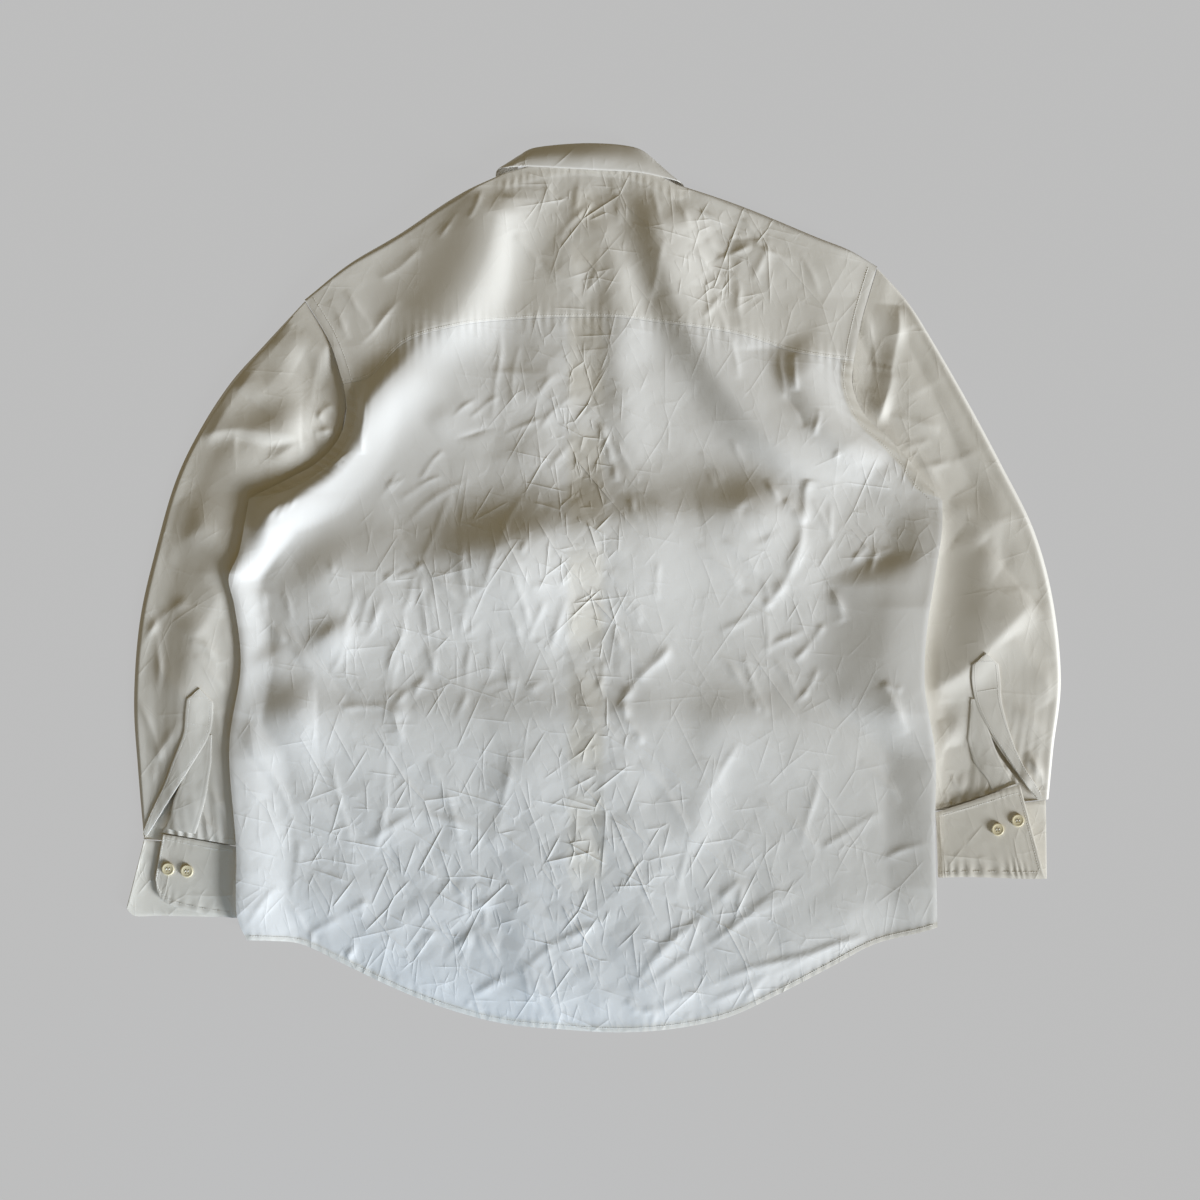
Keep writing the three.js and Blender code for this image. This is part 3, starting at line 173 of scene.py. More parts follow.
# ---------------------------------------------------------------- creases
# Places on the laying board: two ends, bow to the left, height, reach to the left and right.
BACK_CREASES = [
    # pleats under the yoke and the sharp fold beside the right armhole
    (365, 393, 363, 455, 0, 1.5, 2.5, 4), (793, 355, 795, 392, 0, 1.6, 2.5, 7),
    (779, 351, 783, 396, 0, 1.0, 3, 4), (783, 396, 804, 428, 2, -0.9, 4, 4),
    (818, 410, 812, 437, 1, 1.0, 2, 3), (838, 450, 832, 462, 0, 0.7, 2, 2),
    (808, 480, 803, 522, -2, 2.6, 5, 4), (803, 518, 786, 582, 2, 2.4, 4, 5),
    (786, 578, 766, 608, 1, 1.9, 4, 5), (784, 500, 803, 524, 1, 1.7, 3, 4),
    (765, 480, 778, 502, 0, 1.4, 4, 3), (742, 505, 764, 540, -3, -1.6, 10, 8),
    (812, 500, 832, 538, 1, 0.8, 2, 3), (830, 500, 828, 542, 1, 0.6, 2, 2),
    # upper back
    (600, 424, 612, 462, 0, 1.1, 3, 3), (612, 460, 617, 482, 0, 1.0, 3, 3),
    (612, 438, 638, 482, 1, 0.8, 3, 3), (470, 418, 500, 396, 1, 0.5, 2, 3),
    (452, 418, 478, 398, 1, 0.5, 2, 3), (500, 330, 492, 420, 2, 0.6, 3, 3),
    (520, 345, 512, 410, -2, 0.5, 3, 3), (535, 400, 560, 372, 2, 0.6, 3, 3),
    (540, 428, 575, 395, 2, 0.7, 3, 4), (505, 436, 545, 418, 2, 0.5, 2, 3),
    (455, 440, 500, 428, 2, -0.5, 3, 3), (420, 480, 443, 450, 1, 0.6, 2, 3),
    (380, 498, 403, 478, 1, 0.5, 2, 2), (386, 490, 398, 472, 0, 0.5, 2, 2),
    (400, 500, 442, 476, 2, 0.6, 2, 3), (402, 528, 470, 478, 3, 0.6, 3, 3),
    (453, 488, 459, 552, 1, -0.6, 3, 3), (424, 562, 452, 496, 2, 0.6, 3, 3),
    (484, 592, 502, 540, 1, 0.7, 3, 3), (502, 540, 522, 498, 2, 0.6, 3, 3),
    (506, 556, 525, 604, 1, 0.7, 3, 3), (510, 548, 531, 588, 0, 0.6, 3, 3),
    (531, 588, 548, 584, 0, 0.6, 3, 3), (528, 536, 522, 556, 0, 0.7, 2, 2),
    (550, 470, 575, 440, 2, 0.5, 3, 3), (530, 470, 560, 500, 2, 0.4, 3, 3),
    (270, 521, 284, 500, 0, 0.7, 2, 2), (280, 520, 289, 503, 0, 0.7, 2, 2),
    (287, 515, 298, 499, 0, 0.6, 2, 2), (330, 470, 352, 452, 1, 0.8, 3, 4),
    (640, 520, 628, 500, 0, 0.6, 2, 2), (630, 490, 634, 518, 0, 0.6, 2, 2),
    (648, 500, 682, 524, 2, 0.4, 2, 2), (700, 452, 724, 480, 1, 0.5, 2, 3),
    (706, 470, 716, 488, 0, 0.5, 2, 2), (730, 440, 748, 470, 0, 0.5, 3, 3),
    # middle
    (385, 580, 416, 572, 0, 0.8, 2, 3), (416, 572, 424, 562, 0, 0.8, 2, 3),
    (385, 580, 401, 567, 0, 0.6, 2, 2), (424, 562, 457, 598, 0, 0.9, 3, 3),
    (462, 548, 466, 602, 0, 0.8, 3, 3), (466, 602, 486, 588, 1, 0.7, 3, 3),
    (466, 602, 461, 640, 0, 0.6, 3, 3), (461, 640, 486, 618, 1, 0.5, 2, 3),
    (416, 574, 404, 612, 1, 0.7, 3, 3), (404, 610, 398, 656, 1, 0.7, 3, 3),
    (398, 654, 391, 694, 0, 0.6, 3, 3), (421, 578, 427, 640, 1, 0.8, 3, 3),
    (427, 640, 434, 676, 0, 0.7, 3, 3), (430, 592, 438, 642, -1, 0.6, 3, 3),
    (438, 642, 434, 676, 0, 0.6, 2, 3), (383, 598, 364, 640, 2, 0.9, 3, 4),
    (372, 592, 360, 632, -2, 0.7, 3, 3), (358, 585, 342, 640, 1, 0.6, 3, 3),
    (396, 640, 384, 690, 1, 0.7, 3, 3), (352, 622, 330, 676, 2, 0.5, 3, 3),
    (330, 560, 336, 576, 0, 0.6, 2, 2), (262, 588, 266, 620, 1, 0.9, 3, 4),
    (266, 618, 286, 642, 0, 0.9, 3, 4), (284, 585, 292, 625, 1, 0.6, 3, 4),
    (342, 708, 390, 705, 0, 0.9, 3, 3), (390, 705, 404, 742, 1, 1.1, 3, 5),
    (394, 704, 411, 688, 0, 0.7, 2, 3), (411, 688, 428, 680, 0, 0.7, 2, 3),
    (428, 668, 412, 700, 1, 0.6, 2, 3), (470, 640, 464, 700, 1, 0.6, 3, 3),
    (492, 632, 490, 676, 0, 0.6, 3, 3), (520, 596, 530, 626, 1, 0.8, 2, 3),
    (545, 600, 528, 640, 1, 0.8, 2, 3), (566, 598, 548, 650, 2, 1.0, 3, 3),
    (510, 610, 522, 650, 1, 0.7, 3, 3), (536, 640, 556, 652, 0, 0.6, 2, 2),
    (510, 660, 512, 690, 0, 0.6, 2, 3), (524, 690, 548, 680, 0, 0.6, 2, 3),
    (480, 690, 520, 680, 2, 0.5, 3, 3), (457, 720, 470, 690, 1, 0.6, 3, 3),
    (605, 568, 626, 592, 1, 0.8, 3, 3), (626, 592, 641, 622, 1, 0.8, 3, 3),
    (604, 588, 641, 627, 2, 0.6, 3, 3), (657, 562, 657, 600, 0, 0.7, 2, 3),
    (698, 545, 742, 590, 3, 0.9, 3, 4), (742, 590, 764, 606, 1, 0.7, 3, 3),
    (722, 540, 760, 576, 2, 0.7, 3, 3), (760, 574, 771, 600, 0, 0.7, 3, 3),
    (718, 633, 766, 612, 2, 0.7, 3, 3), (766, 612, 768, 652, 0, 0.6, 3, 3),
    (764, 652, 806, 630, 2, 0.8, 3, 3), (794, 661, 813, 640, 0, 1.0, 3, 3),
    (813, 640, 824, 624, 0, 0.8, 3, 3), (768, 596, 764, 612, 0, 0.8, 3, 3),
    (670, 647, 637, 680, 1, 1.9, 4, 5), (637, 680, 621, 700, 1, 1.6, 4, 4),
    (621, 698, 626, 722, 1, 1.5, 4, 4), (626, 720, 643, 742, 1, 1.2, 3, 4),
    (612, 628, 622, 650, 1, 0.8, 3, 3), (612, 640, 644, 670, 2, 0.6, 3, 3),
    (604, 660, 598, 690, 1, 0.9, 3, 3), (718, 655, 748, 690, 1, 0.8, 3, 3),
    (742, 655, 766, 716, 1, 0.8, 3, 3), (750, 690, 758, 712, 0, 0.7, 2, 3),
    (770, 655, 800, 700, 2, 0.6, 3, 3), (817, 668, 804, 696, 1, 0.6, 2, 3),
    (796, 702, 808, 690, 0, 0.7, 2, 2), (832, 590, 842, 622, 1, 1.6, 4, 6),
    (862, 545, 878, 556, 0, 0.9, 2, 3), (878, 545, 868, 574, 1, 0.9, 2, 3),
    (852, 560, 866, 548, 0, 0.8, 2, 3), (872, 556, 892, 548, 0, 0.7, 2, 3),
    (880, 683, 906, 732, 1, 1.9, 4, 9), (880, 683, 900, 690, 0, 0.9, 3, 4),
    # lower back
    (240, 935, 278, 885, 1, 0.8, 3, 4), (287, 900, 308, 937, 1, 0.9, 3, 3),
    (308, 937, 340, 917, 1, 0.8, 3, 3), (340, 917, 370, 900, 1, 0.7, 3, 3),
    (365, 898, 360, 918, 0, 0.6, 2, 3), (415, 952, 435, 930, 0, 0.9, 3, 3),
    (445, 962, 478, 925, 1, 1.0, 3, 3), (475, 925, 497, 975, 1, 1.0, 3, 4),
    (460, 965, 472, 935, 0, 0.7, 3, 3), (465, 915, 500, 895, 1, 0.7, 3, 3),
    (466, 920, 460, 880, 1, 0.7, 3, 3), (486, 900, 484, 930, 0, 0.7, 3, 3),
    (484, 930, 500, 965, 1, 0.8, 3, 3), (470, 1000, 462, 1012, 0, 0.7, 2, 2),
    (475, 1000, 480, 1015, 0, 0.7, 2, 2), (470, 997, 520, 972, 2, 1.1, 3, 5),
    (520, 972, 600, 920, 3, 1.1, 3, 5), (520, 960, 535, 1010, 1, 1.0, 3, 4),
    (530, 965, 545, 1020, 1, 1.0, 3, 4), (540, 965, 558, 1025, 1, 0.9, 3, 4),
    (628, 995, 720, 900, 5, 1.6, 4, 8), (720, 900, 740, 880, 1, 1.2, 4, 6),
    (640, 990, 700, 950, 2, 0.9, 3, 5), (700, 950, 795, 895, 3, 0.9, 3, 5),
    (627, 1000, 638, 1012, 0, 1.0, 3, 3), (638, 1012, 658, 1008, 0, 1.0, 3, 3),
    (658, 1008, 650, 1028, 0, 0.9, 3, 3), (658, 1010, 700, 990, 1, 1.0, 3, 4),
    (700, 990, 865, 935, 3, 1.2, 3, 7), (712, 1003, 770, 975, 1, 0.9, 3, 4),
    (770, 975, 865, 935, 2, 0.8, 3, 4), (740, 1008, 765, 975, 0, 0.8, 3, 3),
    (680, 1025, 690, 1013, 0, 0.7, 2, 3), (733, 930, 745, 880, 1, 0.8, 3, 3),
    (740, 915, 800, 890, 2, 0.7, 3, 4), (303, 946, 314, 936, 0, 1.2, 3, 3),
    (357, 940, 345, 966, 0, 1.3, 3, 3), (406, 994, 398, 976, 0, 0.9, 3, 3),
    (430, 760, 462, 848, 3, 0.8, 3, 5), (512, 742, 498, 830, 2, 0.7, 3, 4),
    (330, 760, 352, 850, 2, 0.8, 3, 5), (392, 742, 372, 862, 3, 0.7, 3, 5),
    (266, 760, 300, 840, 2, 0.7, 3, 5), (300, 840, 292, 900, 1, 0.6, 3, 4),
    (352, 850, 420, 812, 2, 0.7, 3, 5), (420, 812, 500, 838, 2, 0.6, 3, 5),
    (640, 760, 690, 830, 2, 0.8, 3, 5), (690, 830, 676, 900, 1, 0.6, 3, 4),
    (740, 740, 700, 800, 2, 0.7, 3, 5), (760, 800, 820, 850, 2, 0.7, 3, 5),
    (820, 760, 800, 850, 2, 0.6, 3, 5), (820, 850, 880, 812, 2, 0.6, 3, 5),
    (860, 760, 900, 800, 1, 0.6, 3, 4), (880, 860, 925, 842, 1, 0.7, 3, 4),
]
YOKE_CREASES = [
    (503, 196, 530, 214, 1, 0.7, 3, 3), (545, 176, 552, 204, 0, 0.6, 2, 3),
    (580, 178, 572, 220, 1, 0.6, 3, 3), (612, 178, 620, 226, 1, 0.8, 3, 4),
    (560, 240, 590, 205, 2, 0.7, 3, 3), (540, 262, 575, 292, 2, 0.6, 3, 4),
    (516, 236, 540, 268, 1, 0.6, 3, 4), (600, 250, 586, 300, 1, 0.6, 3, 3),
    (690, 246, 722, 292, 2, 1.2, 3, 5), (706, 240, 730, 270, 1, 1.0, 3, 4),
    (722, 292, 700, 322, 1, 0.8, 3, 4), (700, 210, 745, 240, 1, 0.9, 3, 4),
    (716, 262, 752, 246, 1, 0.9, 3, 3), (752, 246, 790, 262, 1, 0.7, 3, 4),
    (745, 215, 760, 246, 1, 0.7, 3, 3), (770, 232, 752, 284, 2, 0.7, 3, 4),
    (738, 282, 740, 330, 0, 0.9, 3, 4), (715, 300, 738, 380, 2, 0.8, 3, 5),
    (676, 200, 690, 230, 1, 0.8, 3, 3), (650, 186, 664, 240, 1, 0.7, 3, 4),
    (664, 240, 650, 300, 1, 0.6, 3, 4), (800, 250, 820, 300, 1, 0.6, 3, 4),
    (480, 190, 470, 220, 1, 0.7, 3, 3), (455, 210, 440, 240, 1, 0.5, 3, 4),
    (400, 300, 360, 345, 2, 0.7, 3, 5), (420, 250, 380, 280, 2, 0.6, 4, 5),
    (330, 300, 350, 340, 1, 0.7, 3, 4), (345, 290, 372, 330, 1, 0.6, 3, 4),
]
# Softer swells of the body between its folds, in the same columns.
BODY_SWELLS = [
    (514, 200, 508, 372, 0, -3.4, 34, 16), (612, 196, 630, 492, 2, 3.2, 20, 18),
    (560, 210, 575, 330, 3, 1.2, 12, 16), (752, 350, 742, 240, 0, 2.4, 18, 26),
    (300, 662, 352, 618, 0, 3.4, 12, 20), (246, 672, 300, 640, 0, 2.4, 12, 22),
    (236, 715, 318, 712, 0, 2.5, 26, 40), (246, 745, 336, 684, -3, 4.5, 34, 40),
    (400, 722, 396, 690, 0, 1.2, 10, 10),
    (400, 528, 300, 572, 0, 1.6, 20, 26), (700, 520, 800, 500, 2, 3.0, 24, 34),
    (830, 592, 945, 542, 0, 2.2, 30, 24), (712, 760, 690, 852, 2, 1.8, 16, 16),
    (640, 985, 860, 900, 0, 0.5, 34, 46), (470, 560, 600, 556, 0, 1.0, 24, 30),
    (600, 700, 640, 860, 2, 1.2, 26, 26), (520, 745, 505, 850, 2, 1.2, 22, 22),
    (310, 900, 420, 790, -16, 1.2, 30, 30), (420, 790, 560, 860, -16, 1.0, 30, 30),
    (430, 430, 470, 400, 0, 1.0, 12, 16), (450, 470, 560, 450, 0, 1.0, 14, 20),
    (690, 400, 780, 480, 3, 1.2, 16, 20), (500, 400, 590, 398, 2, 1.0, 12, 16),
]
# How high the long edges stand over the sleeves below them: height in y, then rise.
LEFT_RISE = [(-352, 8), (-320, 11), (-170, 11), (-130, 8), (-40, 9), (0, 13), (15, 15), (60, 12),
             (95, 5), (150, 4), (240, 4), (300, 0)]
RIGHT_RISE = [(-340, 4), (-300, 7), (-170, 9), (-125, 13), (-20, 14), (40, 9), (80, 4), (120, 3),
              (155, 3.5), (235, 3), (290, 0)]
# A sleeve's section from its outer fold to its inner one, as shares of its height.
SLEEVE_FORM = {"left": [0, 0.06, 0.08, 0.16, 0.38, 0.66, 0.88, 1.0, 0.95, 0.85, 0.7],
               "right": [0, 0.32, 0.35, 0.4, 0.43, 0.44, 0.43, 0.4, 0.35, 0.2, 0]}
# The same where the left sleeve's top meets its armhole.
CAP_FORM = [0, 0.22, 0.27, 0.31, 0.36, 0.43, 0.52, 0.62, 0.7, 0.74, 0.6]
SLEEVE_CREASES = {
    "left": [
        (196, 436, 302, 438, 6, 3.6, 30, 8), (236, 441, 300, 443, -3, -2.6, 6, 16),
        (262, 466, 312, 440, 2, 2.8, 10, 16), (318, 420, 333, 405, 2, 2.0, 4, 6),
        (314, 434, 334, 430, 1, 2.0, 4, 6), (262, 492, 305, 470, 2, 1.4, 4, 6),
        (300, 330, 250, 400, 8, 3.0, 26, 30), (285, 330, 320, 392, 3, -1.6, 14, 16),
        (158, 618, 140, 648, 0, 1.6, 4, 6), (158, 618, 190, 600, 1, 1.0, 4, 6),
        (157, 632, 158, 692, 1, 1.0, 3, 4), (190, 640, 230, 662, 2, 0.9, 3, 4),
        (195, 655, 225, 690, 2, 0.8, 3, 4), (205, 636, 218, 672, 1, 0.7, 3, 4),
        (137, 700, 160, 760, 2, 1.4, 4, 6), (165, 560, 215, 520, 3, 1.6, 14, 18),
        (180, 500, 232, 560, 4, 1.8, 16, 20), (222, 590, 190, 640, 3, 1.8, 12, 16),
        (150, 780, 180, 720, 2, 1.0, 5, 7), (214, 700, 228, 790, 3, 1.6, 8, 10),
        (190, 800, 220, 840, 1, 1.2, 4, 6), (206, 780, 232, 826, 1, 1.0, 4, 5),
        (240, 330, 300, 360, 3, 1.2, 12, 16), (215, 400, 262, 380, 3, 1.0, 12, 14),
        (150, 660, 200, 720, 4, 1.4, 10, 14), (226, 620, 236, 700, 2, 1.2, 6, 8),
    ],
    "right": [
        (898, 306, 891, 372, 2, 3.2, 6, 20), (891, 368, 875, 426, 4, 3.8, 6, 16),
        (872, 300, 868, 392, 4, -2.0, 12, 12), (905, 330, 964, 456, -4, -2.4, 14, 16),
        (926, 388, 1002, 520, -6, -2.2, 18, 22), (1002, 520, 1012, 590, -4, -1.8, 16, 20),
        (920, 694, 1032, 600, -9, 7.0, 46, 14), (944, 700, 950, 806, 2, -3.2, 34, 8),
        (875, 424, 940, 498, 3, 1.6, 5, 14),
        (890, 415, 940, 430, 2, 0.9, 4, 6), (905, 440, 945, 500, 3, 1.2, 5, 8),
        (900, 452, 930, 440, 1, 0.8, 3, 4), (915, 470, 950, 462, 1, 0.8, 3, 4),
        (1028, 752, 1044, 784, 1, 2.4, 4, 6), (940, 720, 962, 790, 3, 2.0, 8, 10),
        (934, 752, 962, 795, 2, 1.4, 4, 6), (945, 790, 952, 810, 0, 1.2, 3, 4),
        (1010, 640, 1052, 700, 5, 2.0, 12, 16), (960, 700, 940, 760, 3, 2.0, 12, 14),
        (1040, 600, 1056, 660, 3, 1.4, 8, 10), (955, 540, 1000, 570, 4, 1.4, 12, 16),
        (1005, 700, 1050, 745, 3, 1.2, 8, 10), (950, 500, 985, 540, 3, 1.2, 10, 12),
        (1010, 800, 1034, 770, 1, 1.2, 4, 5), (975, 790, 1000, 800, 0, 1.0, 3, 4),
    ],
}
# How strongly the cloth is crumpled: place on the board, reach along and across, and share.
CRUMPLE_ZONES = [
    (590, 600, 34, 330, 0.9), (480, 880, 170, 130, 0.7), (700, 920, 150, 110, 0.5),
    (330, 850, 100, 110, 0.35), (420, 620, 130, 90, 0.45), (540, 430, 80, 100, 0.5),
    (720, 260, 70, 60, 0.9), (570, 210, 70, 40, 0.7), (800, 620, 60, 90, 0.3),
    (870, 550, 40, 30, 0.6), (880, 480, 50, 40, 0.5), (500, 520, 90, 50, 0.3),
]
CRUMPLE_BASE = 0.34
# Soft places on the board where the cloth is drawn tight: reach and how much crumple is left.
TIGHT_ZONES = [(400, 420, 90, 0.25), (300, 520, 60, 0.3), (470, 260, 60, 0.3), (880, 620, 60, 0.3)]
# Nets of thin creases: cell in metres, turn, stretch, height in mm, reach in metres.
CREASE_NETS = [(0.050, 0.5, 0.4, 0.7, 0.0013), (0.036, -0.55, 0.35, 0.55, 0.0011),
               (0.024, 0.1, 0.4, 0.4, 0.0009), (0.030, 1.3, 0.35, 0.4, 0.0010),
               (0.013, 0.3, 0.3, 0.22, 0.0007)]
# Flat facets between them: cell in metres, turn, stretch, height in mm.
FACET_NETS = [(0.030, 0.4, 0.6, 0.75), (0.016, -0.8, 0.6, 0.2)]


# ---------------------------------------------------------------- small helpers
def smooth(low, high, value):
    """Eases from 0 at low to 1 at high: 3t^2 - 2t^3."""
    t = np.clip((value - low) / (high - low), 0, 1)
    return t * t * (3 - 2 * t)


def lerp(a, b, t):
    """The value at share t between a and b."""
    return a + (b - a) * t


def line_through(rows, count=480):
    """A centripetal Catmull-Rom line through the rows, returned as a function of its length's share."""
    p = np.array([row[:2] for row in rows], float)
    p = np.vstack([2 * p[0] - p[1], p, 2 * p[-1] - p[-2]])
    step = np.sqrt(np.linalg.norm(np.diff(p, axis=0), axis=1))[:, None]
    a, b, c, d = p[:-3], p[1:-2], p[2:-1], p[3:]
    ab, bc, cd = step[:-2], step[1:-1], step[2:]
    out = ((b - a) / ab - (c - a) / (ab + bc) + (c - b) / bc) * bc
    into = ((c - b) / bc - (d - b) / (bc + cd) + (d - c) / cd) * bc
    t = np.linspace(0, 1, 25)[None, :, None]
    b, c, out, into = b[:, None], c[:, None], out[:, None], into[:, None]
    points = b + out * t + (3 * (c - b) - 2 * out - into) * t ** 2 + (2 * (b - c) + out + into) * t ** 3
    points = points.reshape(-1, 2)
    share = np.concatenate([[0], np.cumsum(np.linalg.norm(np.diff(points, axis=0), axis=1))])
    share /= share[-1]
    even = np.linspace(0, 1, count)
    x, y = (np.interp(even, share, points[:, k]) for k in (0, 1))
    return lambda s: np.stack([np.interp(s, even, x), np.interp(s, even, y)], -1)


def along(values, s):
    """A column of a table at share s: a cubic through its rows with central slopes."""
    v = np.asarray(values, float)
    place = np.clip(s, 0, 1) * (len(v) - 1)
    i = np.minimum(place.astype(int), len(v) - 2)
    t = place - i
    a, b, c, d = v[np.maximum(i - 1, 0)], v[i], v[i + 1], v[np.minimum(i + 2, len(v) - 1)]
    out, into, rise = (c - a) / 2, (d - b) / 2, c - b
    return b + out * t + (3 * rise - 2 * out - into) * t * t + (out + into - 2 * rise) * t ** 3


def column(rows, k):
    """One column of a table."""
    return [row[k] for row in rows]


def beside(line, t, by):
    """The line at t, moved by a distance to its left."""
    step = line(np.minimum(t + 0.01, 1)) - line(np.maximum(t - 0.01, 0))
    step /= np.linalg.norm(step, axis=-1, keepdims=True)
    return line(t) + np.stack([-step[..., 1], step[..., 0]], -1) * by


def distance_to(points, x, y):
    """Nearest distance to a line of points, positive on its left: each piece's perpendicular foot."""
    nearest = np.full(x.shape, 1e9)
    side = np.ones(x.shape)
    for (ax, ay), (bx, by) in zip(points[:-1], points[1:]):
        dx, dy = bx - ax, by - ay
        t = np.clip(((x - ax) * dx + (y - ay) * dy) / (dx * dx + dy * dy), 0, 1)
        gap = np.hypot(x - ax - dx * t, y - ay - dy * t)
        nearer = gap < nearest
        nearest[nearer] = gap[nearer]
        side[nearer] = np.sign(dx * (y - ay) - dy * (x - ax))[nearer]
    return nearest * np.where(side == 0, 1, side)


def patch(low, high, left, right, u, v):
    """A Coons patch: the two ways across it are added and the corners' plane is taken off."""
    u, v = u[None, :, None], v[:, None, None]
    low, high, left, right = low[None], high[None], left[:, None], right[:, None]
    corners = (low[:, :1] * (1 - u) * (1 - v) + low[:, -1:] * u * (1 - v)
               + high[:, :1] * (1 - u) * v + high[:, -1:] * u * v)
    return lerp(low, high, v) + lerp(left, right, u) - corners


# ---------------------------------------------------------------- folds, creases and crumple
def fold_rise(x, y, fold):
    """One large fold: a Gaussian across its bowed crest, eased at both ends."""
    x0, y0, x1, y1, bend, height, left, right = fold
    dx, dy = x1 - x0, y1 - y0
    length = np.hypot(dx, dy)
    s = ((x - x0) * dx + (y - y0) * dy) / length ** 2
    inside = np.clip(s, 0, 1)
    across = (dx * (y - y0) - dy * (x - x0)) / length - bend * 4 * inside * (1 - inside)
    width = np.where(across > 0, left, right)
    share = np.exp(-((across / width) ** 2) * 2.2 - ((s - inside) * length / right) ** 2)
    return height * share * smooth(-0.12, 0.2, s) * smooth(-0.12, 0.2, 1 - s)


def creases(x, y, rows, sharp=1.25):
    """Sum of creases: exp(-(distance/reach)^sharp) across a bowed line that wavers and thins out."""
    total = np.zeros(x.shape)
    for k, (board_x, board_y, end_x, end_y, bend, height, left, right) in enumerate(rows):
        x0, y0, dx, dy = board_x - BOARD_X, BOARD_Y - board_y, end_x - board_x, board_y - end_y
        length = np.hypot(dx, dy)
        s = ((x - x0) * dx + (y - y0) * dy) / length ** 2
        near = (s > -0.02) & (s < 1.02)
        if not near.any():
            continue
        s, px, py = np.clip(s[near], 0, 1), x[near] - x0, y[near] - y0
        waver = 0.02 * length * np.sin(5.2 * s + 1.7 * k) * np.sin(np.pi * s)
        across = (dx * py - dy * px) / length - bend * 4 * s * (1 - s) - waver
        reach = np.where(across > 0, left, right)
        depth = np.sin(np.pi * s) ** 0.6 * (1 + 0.35 * np.sin(7.3 * s + 2.3 * k))
        total[near] += height * depth * np.exp(-(np.abs(across) / reach) ** sharp)
    return total


def nearest_square(x, y, table):
    """Squared distance, in cells, to the nearest of the points scattered one to a cell."""
    i, j = np.floor(x).astype(int), np.floor(y).astype(int)
    best = np.full(x.shape, 9.0)
    for column_i in (i - 1, i, i + 1):
        for row_j in (j - 1, j, j + 1):
            spot = table[column_i % len(table), row_j % len(table)]
            best = np.minimum(best, (column_i + spot[..., 0] - x) ** 2 + (row_j + spot[..., 1] - y) ** 2)
    return best


def facets(x, y, cell, turn, stretch, seed):
    """Flat facets that meet in sharp ridges and troughs: the squared distance to the nearest of one
    scatter of points less the same for a second scatter, which is linear between its creases."""
    random = np.random.default_rng(seed)
    first, second = random.random((2, 64, 64, 2))
    waver = cell * 0.25
    x, y = x + waver * np.sin(y / cell / 1.9 + seed), y + waver * np.sin(x / cell / 2.3 + 2 * seed)
    a = (x * np.cos(turn) + y * np.sin(turn)) / cell
    b = (y * np.cos(turn) - x * np.sin(turn)) / (cell * stretch)
    return nearest_square(a, b, first) - nearest_square(a + 11.3, b + 7.7, second)


def crumple_share(x, y):
    """How strongly the cloth is crumpled at a place: a sum of soft spots, less the tight places."""
    share = np.full(x.shape, CRUMPLE_BASE)
    for bx, by, rx, ry, strength in CRUMPLE_ZONES:
        share += strength * np.exp(-((x - bx + BOARD_X) / rx) ** 2 - ((BOARD_Y - y - by) / ry) ** 2)
    for bx, by, reach, left in TIGHT_ZONES:
        hit = np.exp(-(((x - bx + BOARD_X) ** 2 + (BOARD_Y - y - by) ** 2) / reach ** 2))
        share *= 1 - (1 - left) * hit
    return np.minimum(share, 1.5)


def crumple(x, y, seed=0):
    """Two sizes of facets, the larger ones deeper."""
    return 1.05 * facets(x, y, 50, 0.5, 1.6, 3 + seed) + 0.3 * facets(x, y, 26, -0.6, 1.9, 5 + seed)


# ---------------------------------------------------------------- the body's lines
hem_line, neck_line, seam_line = line_through(HEM), line_through(NECK), line_through(YOKE_SEAM)
lines = {}
for side_name, side in SIDES.items():
    curves = {key: line_through(side[key]) for key in ("side", "back_armhole", "yoke_armhole", "shoulder")}
    around = side["yoke_armhole"][::-1] + side["back_armhole"][-2::-1]
    curves["armhole"] = line_through(around)
    curves["cap"] = line_through(around[:4])
    parts = [curves[key](np.linspace(0, 1, count))[first:] for key, count, first
             in (("side", 61, 0), ("back_armhole", 41, 1), ("yoke_armhole", 17, 1))]
    curves["edge"] = np.vstack(parts)
    lines[side_name] = curves
hem_points = hem_line(np.linspace(0, 1, 90))
neck_points = neck_line(np.linspace(0, 1, 24))
seam_points = seam_line(np.linspace(0, 1, 60))


def body_side(name, v):
    """The body's long edge, from the hem at 0 past the underarm to the yoke seam at 1."""
    low = lines[name]["side"](np.clip(v / UNDERARM, 0, 1))
    high = lines[name]["back_armhole"](np.clip((v - UNDERARM) / (1 - UNDERARM), 0, 1))
    return np.where((v < UNDERARM)[:, None], low, high)


def yoke_top(u):
    """The yoke's far edge: left shoulder, neck, right shoulder."""
    left = lines["left"]["shoulder"](np.clip(u / NECK_FROM, 0, 1))
    neck = neck_line(np.clip((u - NECK_FROM) / (NECK_TO - NECK_FROM), 0, 1))
    right = lines["right"]["shoulder"](np.clip((1 - u) / (1 - NECK_TO), 0, 1))
    return np.where((u <= NECK_FROM)[:, None], left, np.where((u < NECK_TO)[:, None], neck, right))


# ---------------------------------------------------------------- heights of the body
def band_share(x, full, none):
    """1 over the front band, eased to 0 beside it."""
    return 1 - smooth(full, none, np.abs(x - BAND_MIDDLE))


def edges_at(x, y):
    """Distances from a place to the hem, the two long edges, the yoke seam and the neck."""
    return {"hem": np.abs(distance_to(hem_points, x, y)),
            "left": np.abs(distance_to(lines["left"]["edge"], x, y)),
            "right": np.abs(distance_to(lines["right"]["edge"], x, y)),
            "seam": distance_to(seam_points, x, y),
            "neck": np.abs(distance_to(neck_points, x, y))}


def armhole_gap(y, gaps):
    """Distance to the nearer armhole, made too large to count below the underarm."""
    return np.minimum(gaps["left"], gaps["right"]) + 60 * smooth(100, 60, y)


